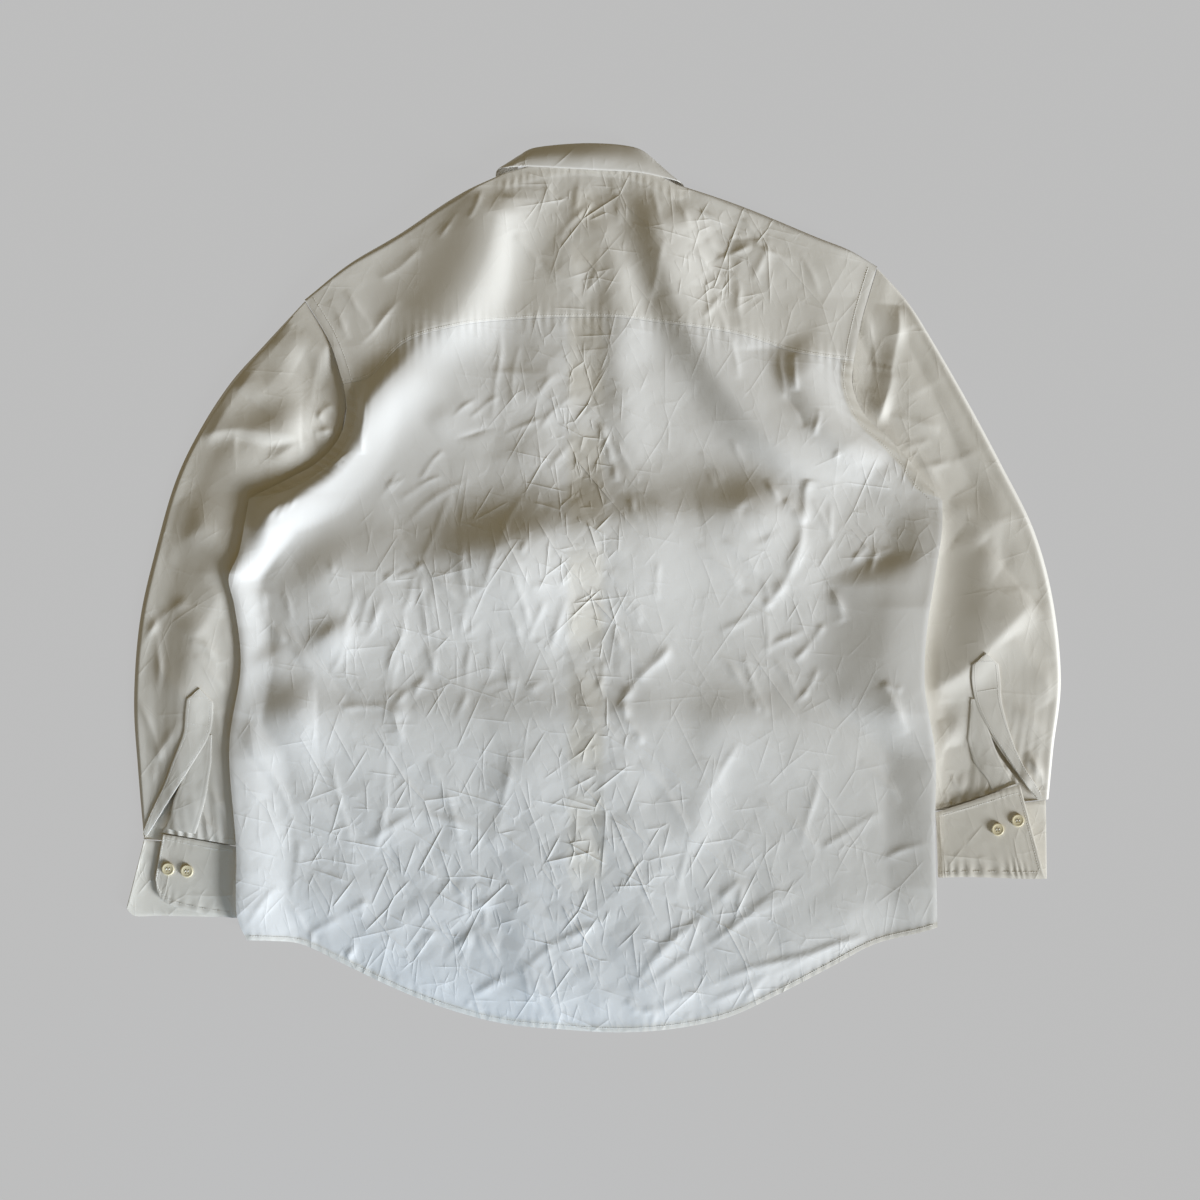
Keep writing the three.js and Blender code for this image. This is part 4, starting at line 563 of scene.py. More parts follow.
def side_rise(y, gaps):
    """How far the body stands up beside its long edges, where the sleeves lie below it."""
    left, right = (np.interp(y, column(rows, 0), column(rows, 1)) for rows in (LEFT_RISE, RIGHT_RISE))
    near = lerp(58, 32, smooth(70, 10, y) * smooth(-170, -130, y))
    reach = lerp(52, 118, np.maximum(smooth(-170, -100, y) * smooth(40, 0, y), smooth(90, 130, y)))
    left = left * smooth(0, 1, (near - gaps["left"]) / (near - 3))
    return np.maximum(left, right * smooth(0, 1, (reach - gaps["right"]) / reach))


def body_base(x, y, gaps):
    """The smooth form of the back and yoke: its crown, its large folds and its raised edges."""
    depth = np.minimum(np.minimum(gaps["hem"], gaps["left"]), gaps["right"])
    free = smooth(0, 45, depth)
    folds = sum(fold_rise(x, y, fold) for fold in BODY_FOLDS) + creases(x, y, BODY_SWELLS, 2.0)
    neck = smooth(8, 45, gaps["neck"])
    level = BAND_LIFT * band_share(x, 48, 110) + YOKE_LIFT * smooth(120, 220, y)
    level = (level + free * CROWN) * lerp(0.85, 1, neck) + folds * smooth(0, 26, depth) * lerp(0.3, 1, neck)
    return BODY_LOW + level + side_rise(y, gaps), depth


def pucker(run, off, pitch, reach, seed):
    """Small ripples square to a seam: uneven waves along it that die away from it."""
    wave = np.sin(2 * np.pi * run / pitch + 1.3 * np.sin(run / (pitch * 1.7) + seed))
    patchy = 0.55 + 0.45 * np.sin(run / 31 + seed) * np.sin(run / 13 + 2 * seed)
    return wave * patchy * np.exp(-np.abs(off) / reach)


def body_detail(x, y, gaps, depth):
    """Creases, crumple, seams and the hem band, as a height over the smooth form."""
    fine = creases(x, y, BACK_CREASES) + creases(x, y, YOKE_CREASES) + crumple_share(x, y) * crumple(x, y)
    fine = 2.6 * np.tanh(1.25 * fine / 2.6) * smooth(1, 12, depth)
    fine *= lerp(0.4, 1, smooth(6, 30, gaps["neck"]))
    above = gaps["seam"] > 0
    seam = np.where(above, 0.35 * smooth(26, 0, gaps["seam"]), 0)
    seam += np.where(above, -0.3 * np.exp(-((gaps["seam"] - SEAM_STITCH) / 0.9) ** 2), 0)
    seam += 0.3 * pucker(x, gaps["seam"], 8.5, 9, 1.0)
    armhole = armhole_gap(y, gaps)
    below = smooth(6, -6, gaps["seam"])
    felled = 0.45 * smooth(11.5, 10, armhole) - 0.3 * np.exp(-((armhole - FELLED_STITCH) / 1.0) ** 2)
    felled *= lerp(0.3, 1, below)
    felled += lerp(0.12, 0.6, below) * pucker(y + x * 0.6, armhole - 6, 10.5, 8, 2.0)
    seam += 0.4 * pucker(x, gaps["neck"] - 10, 7.5, 6, 4.0) + 0.3 * smooth(15, 13, gaps["neck"])
    hem = 0.4 * smooth(6.2, 5.2, gaps["hem"]) - 0.22 * np.exp(-((gaps["hem"] - HEM_STITCH) / 0.7) ** 2)
    hem += 0.3 * pucker(x, gaps["hem"] - 4, 9.5, 7, 3.0)
    edge = -0.5 * np.exp(-(depth / 2.0) ** 2)
    return np.maximum(fine + seam + felled + hem, -1.25) + edge


def body_sheet(x, y):
    """The body over places in plan: smooth height, detail over it, depth of its hidden face below it, and its
    warm tint: where the cloth lies double, and over the yoke also painted warm light."""
    gaps = edges_at(x, y)
    base, depth = body_base(x, y, gaps)
    fine = body_detail(x, y, gaps, depth)
    hollow = lerp(THREAD + 0.9, UNDER, smooth(0, 9, depth))
    above = gaps["seam"] > 0
    patchy = 0.6 + 0.4 * np.sin(y / 37) * np.sin(y / 13 + 1)
    doubled_and_shade = np.maximum.reduce([
        lerp(0.3, 0.9, smooth(6, -6, gaps["seam"])) * smooth(12, 10, armhole_gap(y, gaps)),
        0.8 * smooth(6.4, 5.4, gaps["hem"]),
        # the whole yoke at half: its two plies, and painted warm light over the top of the shirt
        0.5 * above,
        0.7 * smooth(15, 13, gaps["neck"]),
        patchy * band_share(x + 4, 12, 22) * smooth(-330, -250, y),
    ])
    return base, fine, hollow, doubled_and_shade


def crumple_mark(x, y):
    """How deep the net of thin creases is at a place of the body."""
    return 0.95 * crumple_share(x, y) ** 1.4


# ---------------------------------------------------------------- sleeves
def sleeve_plan(name, s, t):
    """Plan of the flattened sleeve: s runs from armhole to cuff, t from its outer to its inner edge."""
    rows = SIDES[name]["sleeve"]
    cap = beside(lines[name]["cap"], t, SIDES[name]["sign"] * SEAM)
    bow = along(column(rows, 4), s)
    place = []
    for k in (0, 1):
        chord = lerp(rows[0][k], rows[0][k + 2], t)
        straight = lerp(along(column(rows, k), s), along(column(rows, k + 2), s), t)
        place.append(straight + (cap[..., k] - chord) * bow)
    return place


def sleeve_top(name, s, t, x, y):
    """Upper face of a sleeve: flat or raised where the body lies on it, and full outside the body."""
    outside = distance_to(lines[name]["edge"], x, y) * -SIDES[name]["sign"]
    form = along(SLEEVE_FORM[name], t ** 0.62)
    if name == "left":
        form = lerp(form, along(CAP_FORM, t ** 0.62), smooth(140, 200, y))
    own = PRESSED + along(column(SIDES[name]["sleeve"], 5), s) * form
    sewn = lerp(6.8, PRESSED, np.maximum(smooth(0.4, 0.6, t), smooth(0.04, 0.12, s)))
    far = np.full(x.shape, 999.0)
    gaps = {"left": far, "right": far, name: np.where(outside > 0, np.minimum(outside, 3), -outside)}
    wide = 1.0 if name == "left" else smooth(30, 130, y)
    under_edge = lerp(smooth(3, 18, -outside), smooth(-70, -2, -outside), wide)
    carried_up = 0.74 * side_rise(y, gaps) * under_edge
    top = lerp(sewn + carried_up, np.maximum(own, PRESSED), smooth(5, 60, outside))
    return top, smooth(0, 18, outside)


def sleeve_grid(name, rows, around, inset):
    """Rings of a flattened tube: over the top from the outer edge, and back below."""
    s, angle = np.meshgrid(np.linspace(0, 1, rows), 2 * np.pi * np.arange(around) / around, indexing="ij")
    table = SIDES[name]["sleeve"]
    x0, y0, x1, y1 = (along(column(table, k), s) for k in range(4))
    width = np.hypot(x0 - x1, y0 - y1)
    saw = 1 - np.abs(angle / np.pi - 1)
    t = lerp((1 - np.cos(angle)) / 2, saw, 0.45)
    t = lerp(inset / width, 1 - inset / width, t)
    x, y = sleeve_plan(name, s, t)
    top, free = sleeve_top(name, s, t, x, y)
    fine = creases(x, y, SLEEVE_CREASES[name], 1.5) * lerp(0.25, 1, free)
    fine += 0.45 * crumple(x, y, 20 + (name == "left")) * free
    fine *= smooth(0, 0.09, np.minimum(t, 1 - t))
    cuff_gather = pucker(t * width, (1 - s) * 300, 11, 20, 4.0) * 1.1 * smooth(0.02, 0.15, t)
    fine += cuff_gather * smooth(0.2, 0.6, free)
    upper = np.maximum(top + fine, PRESSED - 0.4) - inset
    under = np.where(np.sin(angle) >= 0, upper, inset)
    opened = np.clip(np.abs(np.sin(angle)) * 7.5, 0, 1) ** 0.7
    return np.dstack([x, y, lerp(EDGE, under, opened)]), s, t


# ---------------------------------------------------------------- the body's lower layers
sleeve_shares = np.meshgrid(np.linspace(0, 1, 21), np.linspace(0, 1, 13))
sleeve_spots = np.stack([sleeve_plan(name, *sleeve_shares) for name in SIDES], -1)
sleeve_spots = np.moveaxis(sleeve_spots, 0, -1).reshape(-1, 2)


def lift(x, y, placket):
    """How high the lowest layer of the body is carried by sleeves, front band and collar."""
    near = np.full(x.shape, 1e9)
    for sx, sy in sleeve_spots:
        near = np.minimum(near, (x - sx) ** 2 + (y - sy) ** 2)
    sleeve = SLEEVE_CARRY * (1 - smooth(45, 95, np.sqrt(near)))
    collar = COLLAR_CARRY * band_share(x, 105, 160) * smooth(215, 265, y)
    return np.maximum.reduce([sleeve, placket * band_share(x, 48, 110), collar])


# ---------------------------------------------------------------- meshes
def place_in_scene(name, data, location=(0, 0, 0), back=None):
    """An object over its data, turned so that its back faces the given way."""
    thing = bpy.data.objects.new(name, data)
    thing.location = location
    if back is not None:
        thing.rotation_euler = back.to_track_quat("Z", "Y").to_euler()
    bpy.context.scene.collection.objects.link(thing)
    return thing


def make_mesh(name, points, faces, uv, marks, material, sharp=0.9):
    """A mesh object in metres from points in mm and arrays of faces, turned to face outwards."""
    faces = [np.asarray(f) for f in faces if len(f)]
    fans = [np.stack([f[:, 0], f[:, k], f[:, k + 1]], 1) for f in faces for k in range(1, f.shape[1] - 1)]
    tri = points[np.concatenate(fans)]
    if np.einsum("ij,ij->i", tri[:, 0], np.cross(tri[:, 1], tri[:, 2])).sum() < 0:
        faces = [f[:, ::-1] for f in faces]
    loops = np.concatenate([f.reshape(-1) for f in faces]).astype(np.int32)
    sizes = np.concatenate([np.full(len(f), f.shape[1]) for f in faces])
    mesh = bpy.data.meshes.new(name)
    mesh.vertices.add(len(points))
    mesh.vertices.foreach_set("co", (points * MM).astype(np.float32).reshape(-1))
    mesh.loops.add(len(loops))
    mesh.loops.foreach_set("vertex_index", loops)
    mesh.polygons.add(len(sizes))
    mesh.polygons.foreach_set("loop_start", np.concatenate([[0], np.cumsum(sizes)[:-1]]).astype(np.int32))
    mesh.update(calc_edges=True)
    mesh.polygons.foreach_set("use_smooth", np.ones(len(sizes), bool))
    mesh.set_sharp_from_angle(angle=sharp)
    layer = mesh.uv_layers.new(name="cloth")
    layer.uv.foreach_set("vector", (uv[loops] * MM).astype(np.float32).reshape(-1))
    for key, values in marks.items():
        attribute = mesh.attributes.new(key, "FLOAT", "POINT")
        attribute.data.foreach_set("value", values.astype(np.float32))
    mesh.validate()
    mesh.materials.append(material)
    return place_in_scene(name, mesh)


def block_edge(i, j, k, rows, columns):
    """The corners of one coarse block of a grid, with every grid point that its outer sides pass."""
    near = [(i, j + m) for m in (range(k) if i == 0 else (0,))]
    right = [(i + m, j + k) for m in (range(k) if j + k == columns - 1 else (0,))]
    far = [(i + k, j + k - m) for m in (range(k) if i + k == rows - 1 else (0,))]
    left = [(i + k - m, j) for m in (range(k) if j == 0 else (0,))]
    return near + right + far + left


def shell(name, top, under, marks, uv, material, stride=1):
    """A closed sheet: a fine upper grid, a rim, and a lower grid of every stride-th point."""
    rows, columns = top.shape[:2]
    at = np.arange(rows * columns).reshape(rows, columns)
    keep = np.zeros((rows, columns), bool)
    keep[::stride, ::stride] = True
    keep[0] = keep[-1] = keep[:, 0] = keep[:, -1] = True
    below = np.full((rows, columns), -1)
    below[keep] = rows * columns + np.arange(keep.sum())

    def quads(a, b, c, d):
        """Faces over four equal blocks of corners."""
        return np.stack([part.reshape(-1) for part in (a, b, c, d)], 1)

    faces = [quads(at[:-1, :-1], at[:-1, 1:], at[1:, 1:], at[1:, :-1]),
             quads(at[0, 1:], at[0, :-1], below[0, :-1], below[0, 1:]),
             quads(at[-1, :-1], at[-1, 1:], below[-1, 1:], below[-1, :-1]),
             quads(at[:-1, 0], at[1:, 0], below[1:, 0], below[:-1, 0]),
             quads(at[1:, -1], at[:-1, -1], below[:-1, -1], below[1:, -1])]
    if stride == 1:
        faces.append(quads(below[:-1, :-1], below[1:, :-1], below[1:, 1:], below[:-1, 1:]))
    else:
        coarse = below[::stride, ::stride]
        inner = coarse[1:-1, 1:-1]
        faces.append(quads(inner[:-1, :-1], inner[1:, :-1], inner[1:, 1:], inner[:-1, 1:]))
        for i in range(0, rows - 1, stride):
            for j in range(0, columns - 1, stride):
                if i in (0, rows - 1 - stride) or j in (0, columns - 1 - stride):
                    loop = block_edge(i, j, stride, rows, columns)
                    faces.append(np.array([[below[p] for p in reversed(loop)]]))
    points = np.concatenate([top.reshape(-1, 3), under[keep]])
    places = np.concatenate([uv.reshape(-1, 2), uv[keep]])
    both = {key: np.concatenate([value.reshape(-1), value[keep]]) for key, value in marks.items()}
    return make_mesh(name, points, faces, places, both, material)


def normals_of(grid):
    """Unit normals of a grid of points, from the slopes along its rows and columns."""
    normal = np.cross(np.gradient(grid, axis=1), np.gradient(grid, axis=0))
    return normal / np.maximum(np.linalg.norm(normal, axis=-1, keepdims=True), 1e-9)


def rounded(rows, columns, cells=3):
    """A thickness share that rounds a sheet's rim: a quarter circle over its outer cells."""
    i = np.minimum(np.arange(rows), np.arange(rows)[::-1])[:, None]
    j = np.minimum(np.arange(columns), np.arange(columns)[::-1])[None]
    inward = np.clip(np.minimum(i, j) / cells, 0, 1)
    return lerp(0.35, 1, np.sqrt(1 - (1 - inward) ** 2))


def wall(name, grid, thickness, fine, uv, marks, material):
    """A sheet with two full faces, half its thickness to each side of a middle grid."""
    normal = normals_of(grid)
    half = (thickness / 2 * rounded(*grid.shape[:2]))[..., None]
    top, under = grid + normal * (half + fine[..., None]), grid - normal * half
    return shell(name, top, under, marks, uv, material)


# ---------------------------------------------------------------- materials
def set_inputs(node, values):
    """Plain values on a node's inputs, whose names have _ for a space."""
    for key, value in values.items():
        node.inputs[key.replace("_", " ")].default_value = value


def feed(tree, socket, value):
    """Gives a socket another socket, a plain number or a plain colour."""
    if isinstance(value, tuple):
        socket.default_value = (*value, 1)
    elif isinstance(value, (int, float)):
        socket.default_value = value
    elif value is not None:
        tree.links.new(value, socket)


def add_node(tree, kind, vector=None, **values):
    """A node with plain values on its inputs, fed with a vector where one is given."""
    node = tree.nodes.new(kind)
    set_inputs(node, values)
    if vector is not None:
        tree.links.new(vector, node.inputs["Vector"])
    return node


def node_group(name, result, result_kind, *inputs):
    """An empty shader group over cloth coordinates; returns its tree, its inputs and its result."""
    tree = bpy.data.node_groups.new(name, "ShaderNodeTree")
    tree.interface.new_socket(name="Vector", in_out="INPUT", socket_type="NodeSocketVector")
    for key, kind, value in inputs:
        socket = tree.interface.new_socket(name=key, in_out="INPUT", socket_type=kind)
        socket.default_value = value
    tree.interface.new_socket(name=result, in_out="OUTPUT", socket_type=result_kind)
    start, end = tree.nodes.new("NodeGroupInput"), tree.nodes.new("NodeGroupOutput")
    return tree, start.outputs, end.inputs[result]


def math(tree, kind, a, b=None):
    """A Math node over sockets or plain numbers."""
    node = tree.nodes.new("ShaderNodeMath")
    node.operation = kind
    feed(tree, node.inputs[0], a)
    feed(tree, node.inputs[1], b)
    return node.outputs[0]


def blend_colour(tree, share, a, b):
    """A colour mix over sockets or plain colours."""
    node = tree.nodes.new("ShaderNodeMix")
    node.data_type = "RGBA"
    for k, value in ((0, share), (6, a), (7, b)):
        feed(tree, node.inputs[k], value)
    return node.outputs[2]


def make_weave():
    """Poplin: fine warp threads with a finer crosswise rib, as |sin| of the two cloth directions."""
    tree, start, height = node_group("poplin_weave", "Height", "NodeSocketFloat",
                                     ("Pitch", "NodeSocketFloat", 0.0004))
    split = add_node(tree, "ShaderNodeSeparateXYZ", start["Vector"])
    turns = math(tree, "DIVIDE", np.pi, start["Pitch"])
    total = 0.0
    for across, pace, share in ((split.outputs[0], 1.0, 0.6), (split.outputs[1], 0.7, 0.4)):
        wave = math(tree, "SINE", math(tree, "MULTIPLY", across, math(tree, "MULTIPLY", turns, pace)))
        total = math(tree, "ADD", math(tree, "MULTIPLY", math(tree, "ABSOLUTE", wave), share), total)
    tree.links.new(total, height)
    return tree


def cell_field(tree, vector, cell, feature, move, turn, stretch):
    """A 2D Voronoi field over turned and stretched cloth coordinates."""
    place = add_node(tree, "ShaderNodeMapping", vector, Location=(move * cell, move * 0.6 * cell, 0),
                     Rotation=(0, 0, turn), Scale=(cell, cell / stretch, 1))
    place.vector_type = "TEXTURE"
    cells = add_node(tree, "ShaderNodeTexVoronoi", place.outputs[0], Scale=1.0)
    cells.voronoi_dimensions = "2D"
    cells.feature = feature
    return cells.outputs["Distance"]


def make_small_creases():
    """Thin ridges along the borders of stretched cells, exp(-distance/reach), broken by a noise, over
    flat facets: the squared distance to one scatter of points less that to another."""
    tree, start, height = node_group("small_creases", "Height", "NodeSocketFloat")
    vector = start["Vector"]
    total = 0.0
    for cell, turn, stretch, share, reach in CREASE_NETS:
        edge = cell_field(tree, vector, cell, "DISTANCE_TO_EDGE", cell * 310, turn, stretch)
        ridge = math(tree, "EXPONENT", math(tree, "MULTIPLY", edge, -cell / reach))
        noise = add_node(tree, "ShaderNodeTexNoise", vector, Scale=0.75 / cell, Detail=1.0)
        shown = math(tree, "MULTIPLY", math(tree, "SUBTRACT", noise.outputs[0], 0.48), 8.0)
        shown.node.use_clamp = True
        total = math(tree, "ADD", math(tree, "MULTIPLY", math(tree, "MULTIPLY", ridge, shown), share), total)
    for cell, turn, stretch, share in FACET_NETS:
        squares = [math(tree, "POWER", cell_field(tree, vector, cell, "F1", move, turn, stretch), 2.0)
                   for move in (3.1, 8.4)]
        total = math(tree, "ADD", math(tree, "MULTIPLY", math(tree, "SUBTRACT", *squares), share), total)
    tree.links.new(total, height)
    return tree


def make_cloth_tone():
    """Cotton's colour: white with faint clouds and slubs, warmer by its tint mark: where the cloth lies
    double, and where warm shade is painted in.
    """
    tree, start, colour = node_group("cotton_tone", "Color", "NodeSocketColor",
                                     ("White", "NodeSocketColor", (0.8, 0.8, 0.8, 1)),
                                     ("Doubled", "NodeSocketColor", (0.8, 0.7, 0.6, 1)),
                                     ("LayersAndShade", "NodeSocketFloat", 0.0))
    clouds = add_node(tree, "ShaderNodeTexNoise", start["Vector"], Scale=9.0, Detail=4.0)
    stretch = add_node(tree, "ShaderNodeMapping", start["Vector"], Scale=(900, 60, 1))
    slubs = add_node(tree, "ShaderNodeTexNoise", stretch.outputs[0], Scale=1.0, Detail=2.0)
    shade = math(tree, "ADD", math(tree, "MULTIPLY", clouds.outputs[0], 0.5),
                 math(tree, "MULTIPLY", slubs.outputs[0], 0.25))
    white = blend_colour(tree, shade, start["White"], (0.86, 0.85, 0.82))
    tree.links.new(blend_colour(tree, start["LayersAndShade"], white, start["Doubled"]), colour)
    return tree


WEAVE, SMALL_CREASES, CLOTH_TONE = make_weave(), make_small_creases(), make_cloth_tone()


def use(tree, group, vector, **values):
    """A group placed in a material, fed with the cloth's own coordinates."""
    node = tree.nodes.new("ShaderNodeGroup")
    node.node_tree = group
    tree.links.new(vector, node.inputs["Vector"])
    set_inputs(node, values)
    return node


def new_material(name, **values):
    """A material with plain values on its surface shader; returns its tree and that shader's inputs too."""
    material = bpy.data.materials.new(name)
    material.use_nodes = True
    shader = material.node_tree.nodes["Principled BSDF"]
    set_inputs(shader, values)
    return material, material.node_tree, shader.inputs


def cloth_material(name, white, doubled_and_shade, crease_height=1.0, pitch=0.0004):
    """Cotton: the tone group for colour, and bumps from the crease group and the weave group."""
    material, tree, surface = new_material(name, Roughness=0.92, Specular_IOR_Level=0.25,
                                           Sheen_Weight=0.08, Sheen_Roughness=0.5)
    place = tree.nodes.new("ShaderNodeUVMap")
    place.uv_map = "cloth"
    marks = {}
    for key in ("layers", "crumple"):
        attribute = tree.nodes.new("ShaderNodeAttribute")
        attribute.attribute_name = key
        marks[key] = attribute.outputs["Fac"]
    tone = use(tree, CLOTH_TONE, place.outputs[0], White=(*white, 1), Doubled=(*doubled_and_shade, 1))
    tree.links.new(marks["layers"], tone.inputs["LayersAndShade"])
    tree.links.new(tone.outputs["Color"], surface["Base Color"])
    small = use(tree, SMALL_CREASES, place.outputs[0])
    weave = use(tree, WEAVE, place.outputs[0], Pitch=pitch)
    height = math(tree, "MULTIPLY", math(tree, "MULTIPLY", small.outputs[0], marks["crumple"]), crease_height)
    height = math(tree, "ADD", height, math(tree, "MULTIPLY", weave.outputs[0], 0.02))
    bump = add_node(tree, "ShaderNodeBump", Distance=MM)
    tree.links.new(height, bump.inputs["Height"])
    tree.links.new(bump.outputs[0], surface["Normal"])
    return material


def button_material():
    """Cast resin: cream with faint darker swirls and a light gloss."""
    material, tree, surface = new_material("cream_button", Coat_Weight=0.35, Coat_Roughness=0.15)
    place = tree.nodes.new("ShaderNodeTexCoord")
    swirl = add_node(tree, "ShaderNodeTexNoise", place.outputs["Object"], Scale=260, Distortion=1.6)
    tone = blend_colour(tree, swirl.outputs[0], (0.84, 0.77, 0.56), (0.76, 0.66, 0.42))
    tree.links.new(tone, surface["Base Color"])
    gloss = math(tree, "ADD", math(tree, "MULTIPLY", swirl.outputs[0], 0.2), 0.28)
    tree.links.new(gloss, surface["Roughness"])
    return material


# the warm tint of doubled cloth; on the cuffs it is also painted warm shade, and on the yoke painted warm
# light
WHITE, DOUBLED_AND_SHADE = (0.81, 0.80, 0.78), (0.79, 0.755, 0.68)
COTTON = cloth_material("white_cotton", WHITE, DOUBLED_AND_SHADE)
STRIP_COTTON = cloth_material("doubled_cotton", (0.79, 0.775, 0.73), DOUBLED_AND_SHADE, 0.5)
THREAD_COTTON = cloth_material("sewing_thread", (0.84, 0.83, 0.80), DOUBLED_AND_SHADE, 0.0, 0.0002)
BUTTON = button_material()


# ---------------------------------------------------------------- pieces
def dress(piece, node):
    """Hangs a piece under the root and hides the imported part it stands for."""
    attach(piece, "root")
    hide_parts(node)


def flat_marks(grid, layers=0.0, share=0.4):
    """Even values of the two cloth marks over a grid."""
    return {"layers": np.full(grid.shape[:2], layers), "crumple": np.full(grid.shape[:2], share)}


def make_back():
    """The back over a Coons patch between hem, two long edges and yoke seam."""
    u, v = np.linspace(0, 1, 301), np.linspace(0, 1, 271)
    down = np.stack([np.zeros(len(v)), 0.5 * v], -1)
    plan = patch(hem_line(u), seam_line(u) - [0, 0.5], body_side("left", v) - down,
                 body_side("right", v) - down, u, v)
    x, y = plan[..., 0], plan[..., 1]
    base, fine, hollow, doubled_and_shade = body_sheet(x, y)
    top, under = np.dstack([plan, base + fine]), np.dstack([plan, base - hollow])
    marks = {"layers": doubled_and_shade, "crumple": crumple_mark(x, y)}
    return shell("back_panel", top, under, marks, plan, COTTON, stride=3)


def make_yoke():
    """The yoke: the flat part, half a turn about the shoulder, and the part that lies below it."""
    u, v = np.linspace(0, 1, 271), np.linspace(0, 1, 76)
    down = np.stack([np.zeros(len(v)), 0.3 * (1 - v)], -1)
    plan = patch(seam_line(u) - [0, 0.3], yoke_top(u), lines["left"]["yoke_armhole"](v) - down,
                 lines["right"]["yoke_armhole"](v) - down, u, v)
    x, y = plan[..., 0], plan[..., 1]
    base, fine, hollow, doubled_and_shade = body_sheet(x, y)
    step = yoke_top(np.minimum(u + 0.01, 1)) - yoke_top(np.maximum(u - 0.01, 0))
    outward = np.stack([-step[:, 1], step[:, 0]], -1) / np.linalg.norm(step, axis=1)[:, None]
    sewn = smooth(NECK_FROM - NECK_BLEND, NECK_FROM, u) * (1 - smooth(NECK_TO, NECK_TO + NECK_BLEND, u))
    edge_z = base[-1] - 0.5
    lowest = 0.5 + lift(x[-1], y[-1], BAND_CARRY["right"])
    radius = lerp(np.maximum((edge_z - lowest) / 2, 1.2), 1.2, sewn)
    reach = lerp(SHOULDER_WRAP, 3, sewn)
    shown = plan - outward * (radius * smooth(0.72, 1, v)[:, None])[..., None]
    fine = fine * (1 - smooth(0.93, 1, v))[:, None]
    hollow = lerp(hollow, 1.0, smooth(0.85, 1, v)[:, None])
    turn = np.linspace(0, np.pi, 11)[1:, None]
    below = np.linspace(0, 1, 13)[1:, None]
    faces = []
    for side, z in ((0.5, base + fine), (-0.5, base - hollow)):
        swing = (radius + side) * np.sin(turn)
        round_z = edge_z - radius + (radius + side) * np.cos(turn)
        back_in = -reach * below
        lower_z = np.broadcast_to(edge_z - 2 * radius - side, back_in.shape)
        faces.append(np.concatenate([np.dstack([shown, z]),
                                     np.dstack([shown[-1] + outward * swing[..., None], round_z]),
                                     np.dstack([shown[-1] + outward * back_in[..., None], lower_z])]))
    rest = (len(turn) + len(below), len(u))
    marks = {"layers": np.concatenate([doubled_and_shade, np.zeros(rest)]),
             "crumple": np.concatenate([crumple_mark(x, y), np.full(rest, 0.3)])}
    further = y[-1] + np.concatenate([radius * turn, np.pi * radius + reach * below])
    uv = np.concatenate([plan, np.dstack([np.broadcast_to(x[-1], rest), further])])
    return shell("yoke_panel", *faces, marks, uv, COTTON)


def hem_share(x):
    """The share of the hem's length at which it reaches x."""
    t = np.linspace(0, 1, 401)
    return t[np.argmax(hem_line(t)[:, 0] >= x)]


def make_front(name):
    """A front over a Coons patch, carried by what lies below it, with soft creases of its own."""
    is_left = name == "left"
    inward = -SIDES[name]["sign"]
    band_edge = BAND_MIDDLE + inward * BAND_WIDTH / 2
    u, v = np.linspace(0, 1, 61), np.linspace(0, 1, 101)
    low = hem_line(lerp(0 if is_left else 1, hem_share(band_edge), u))
    low[:, 1] += FRONT_RISE * smooth(0, 0.1, u)
    rows = STAND[:4][::-1] if is_left else STAND[-4:]
    at = np.clip((u - FRONT_SHOULDER) / (1 - FRONT_SHOULDER), 0, 1)
    edge_x = along(column(rows, 0), at)
    neck = np.stack([lerp(edge_x + np.sign(edge_x) * NECK_CLEAR, band_edge, smooth(0.6, 1, at)),
                     along(column(rows, 1), at) - NECK_CLEAR], -1)
    shoulder = beside(lines[name]["shoulder"], np.clip(u / FRONT_SHOULDER, 0, 1),
                      -inward * (SHOULDER_WRAP + SHOULDER_TURN))
    high = np.where((u < FRONT_SHOULDER)[:, None], shoulder, neck)
    lower = lines[name]["side"](np.clip(v / FRONT_UNDERARM, 0, 1))
    up_armhole = np.clip((v - FRONT_UNDERARM) / (1 - FRONT_UNDERARM), 0, 1) * FRONT_ARMHOLE
    upper = beside(lines[name]["armhole"], 1 - up_armhole, inward * SEAM)
    edge = np.where((v < FRONT_UNDERARM)[:, None], lower, upper)
    edge = lerp(edge, high[:1], smooth(0.93, 1, v)[:, None])
    straight = lerp(low[-1:], high[-1:], v[:, None])
    plan = patch(low, high, edge, straight, u, v)
    x, y = plan[..., 0], plan[..., 1]
    rim = np.minimum(np.minimum(u, 1 - u)[None], np.minimum(v, 1 - v)[:, None] * 2)
    gaps = edges_at(x, y)
    base, depth = body_base(x, y, gaps)
    level = lift(x, y, BAND_CARRY[name]) + 0.5 * (crumple(x, y, 40) + 1.2) * smooth(0.06, 0.25, rim)
    level += 0.75 * side_rise(y, gaps) * smooth(2, 18, depth)
    beside_edge = smooth(9, 0, np.minimum(gaps["left"], gaps["right"])) * smooth(110, 60, y)
    level = np.minimum(level, base - BELOW_BACK)
    level = np.maximum(lerp(level, base - BELOW_EDGE, beside_edge), 0.6)
    return shell(f"{name}_front_panel", np.dstack([plan, level + THREAD]), np.dstack([plan, level]),
                 flat_marks(x), plan, COTTON)


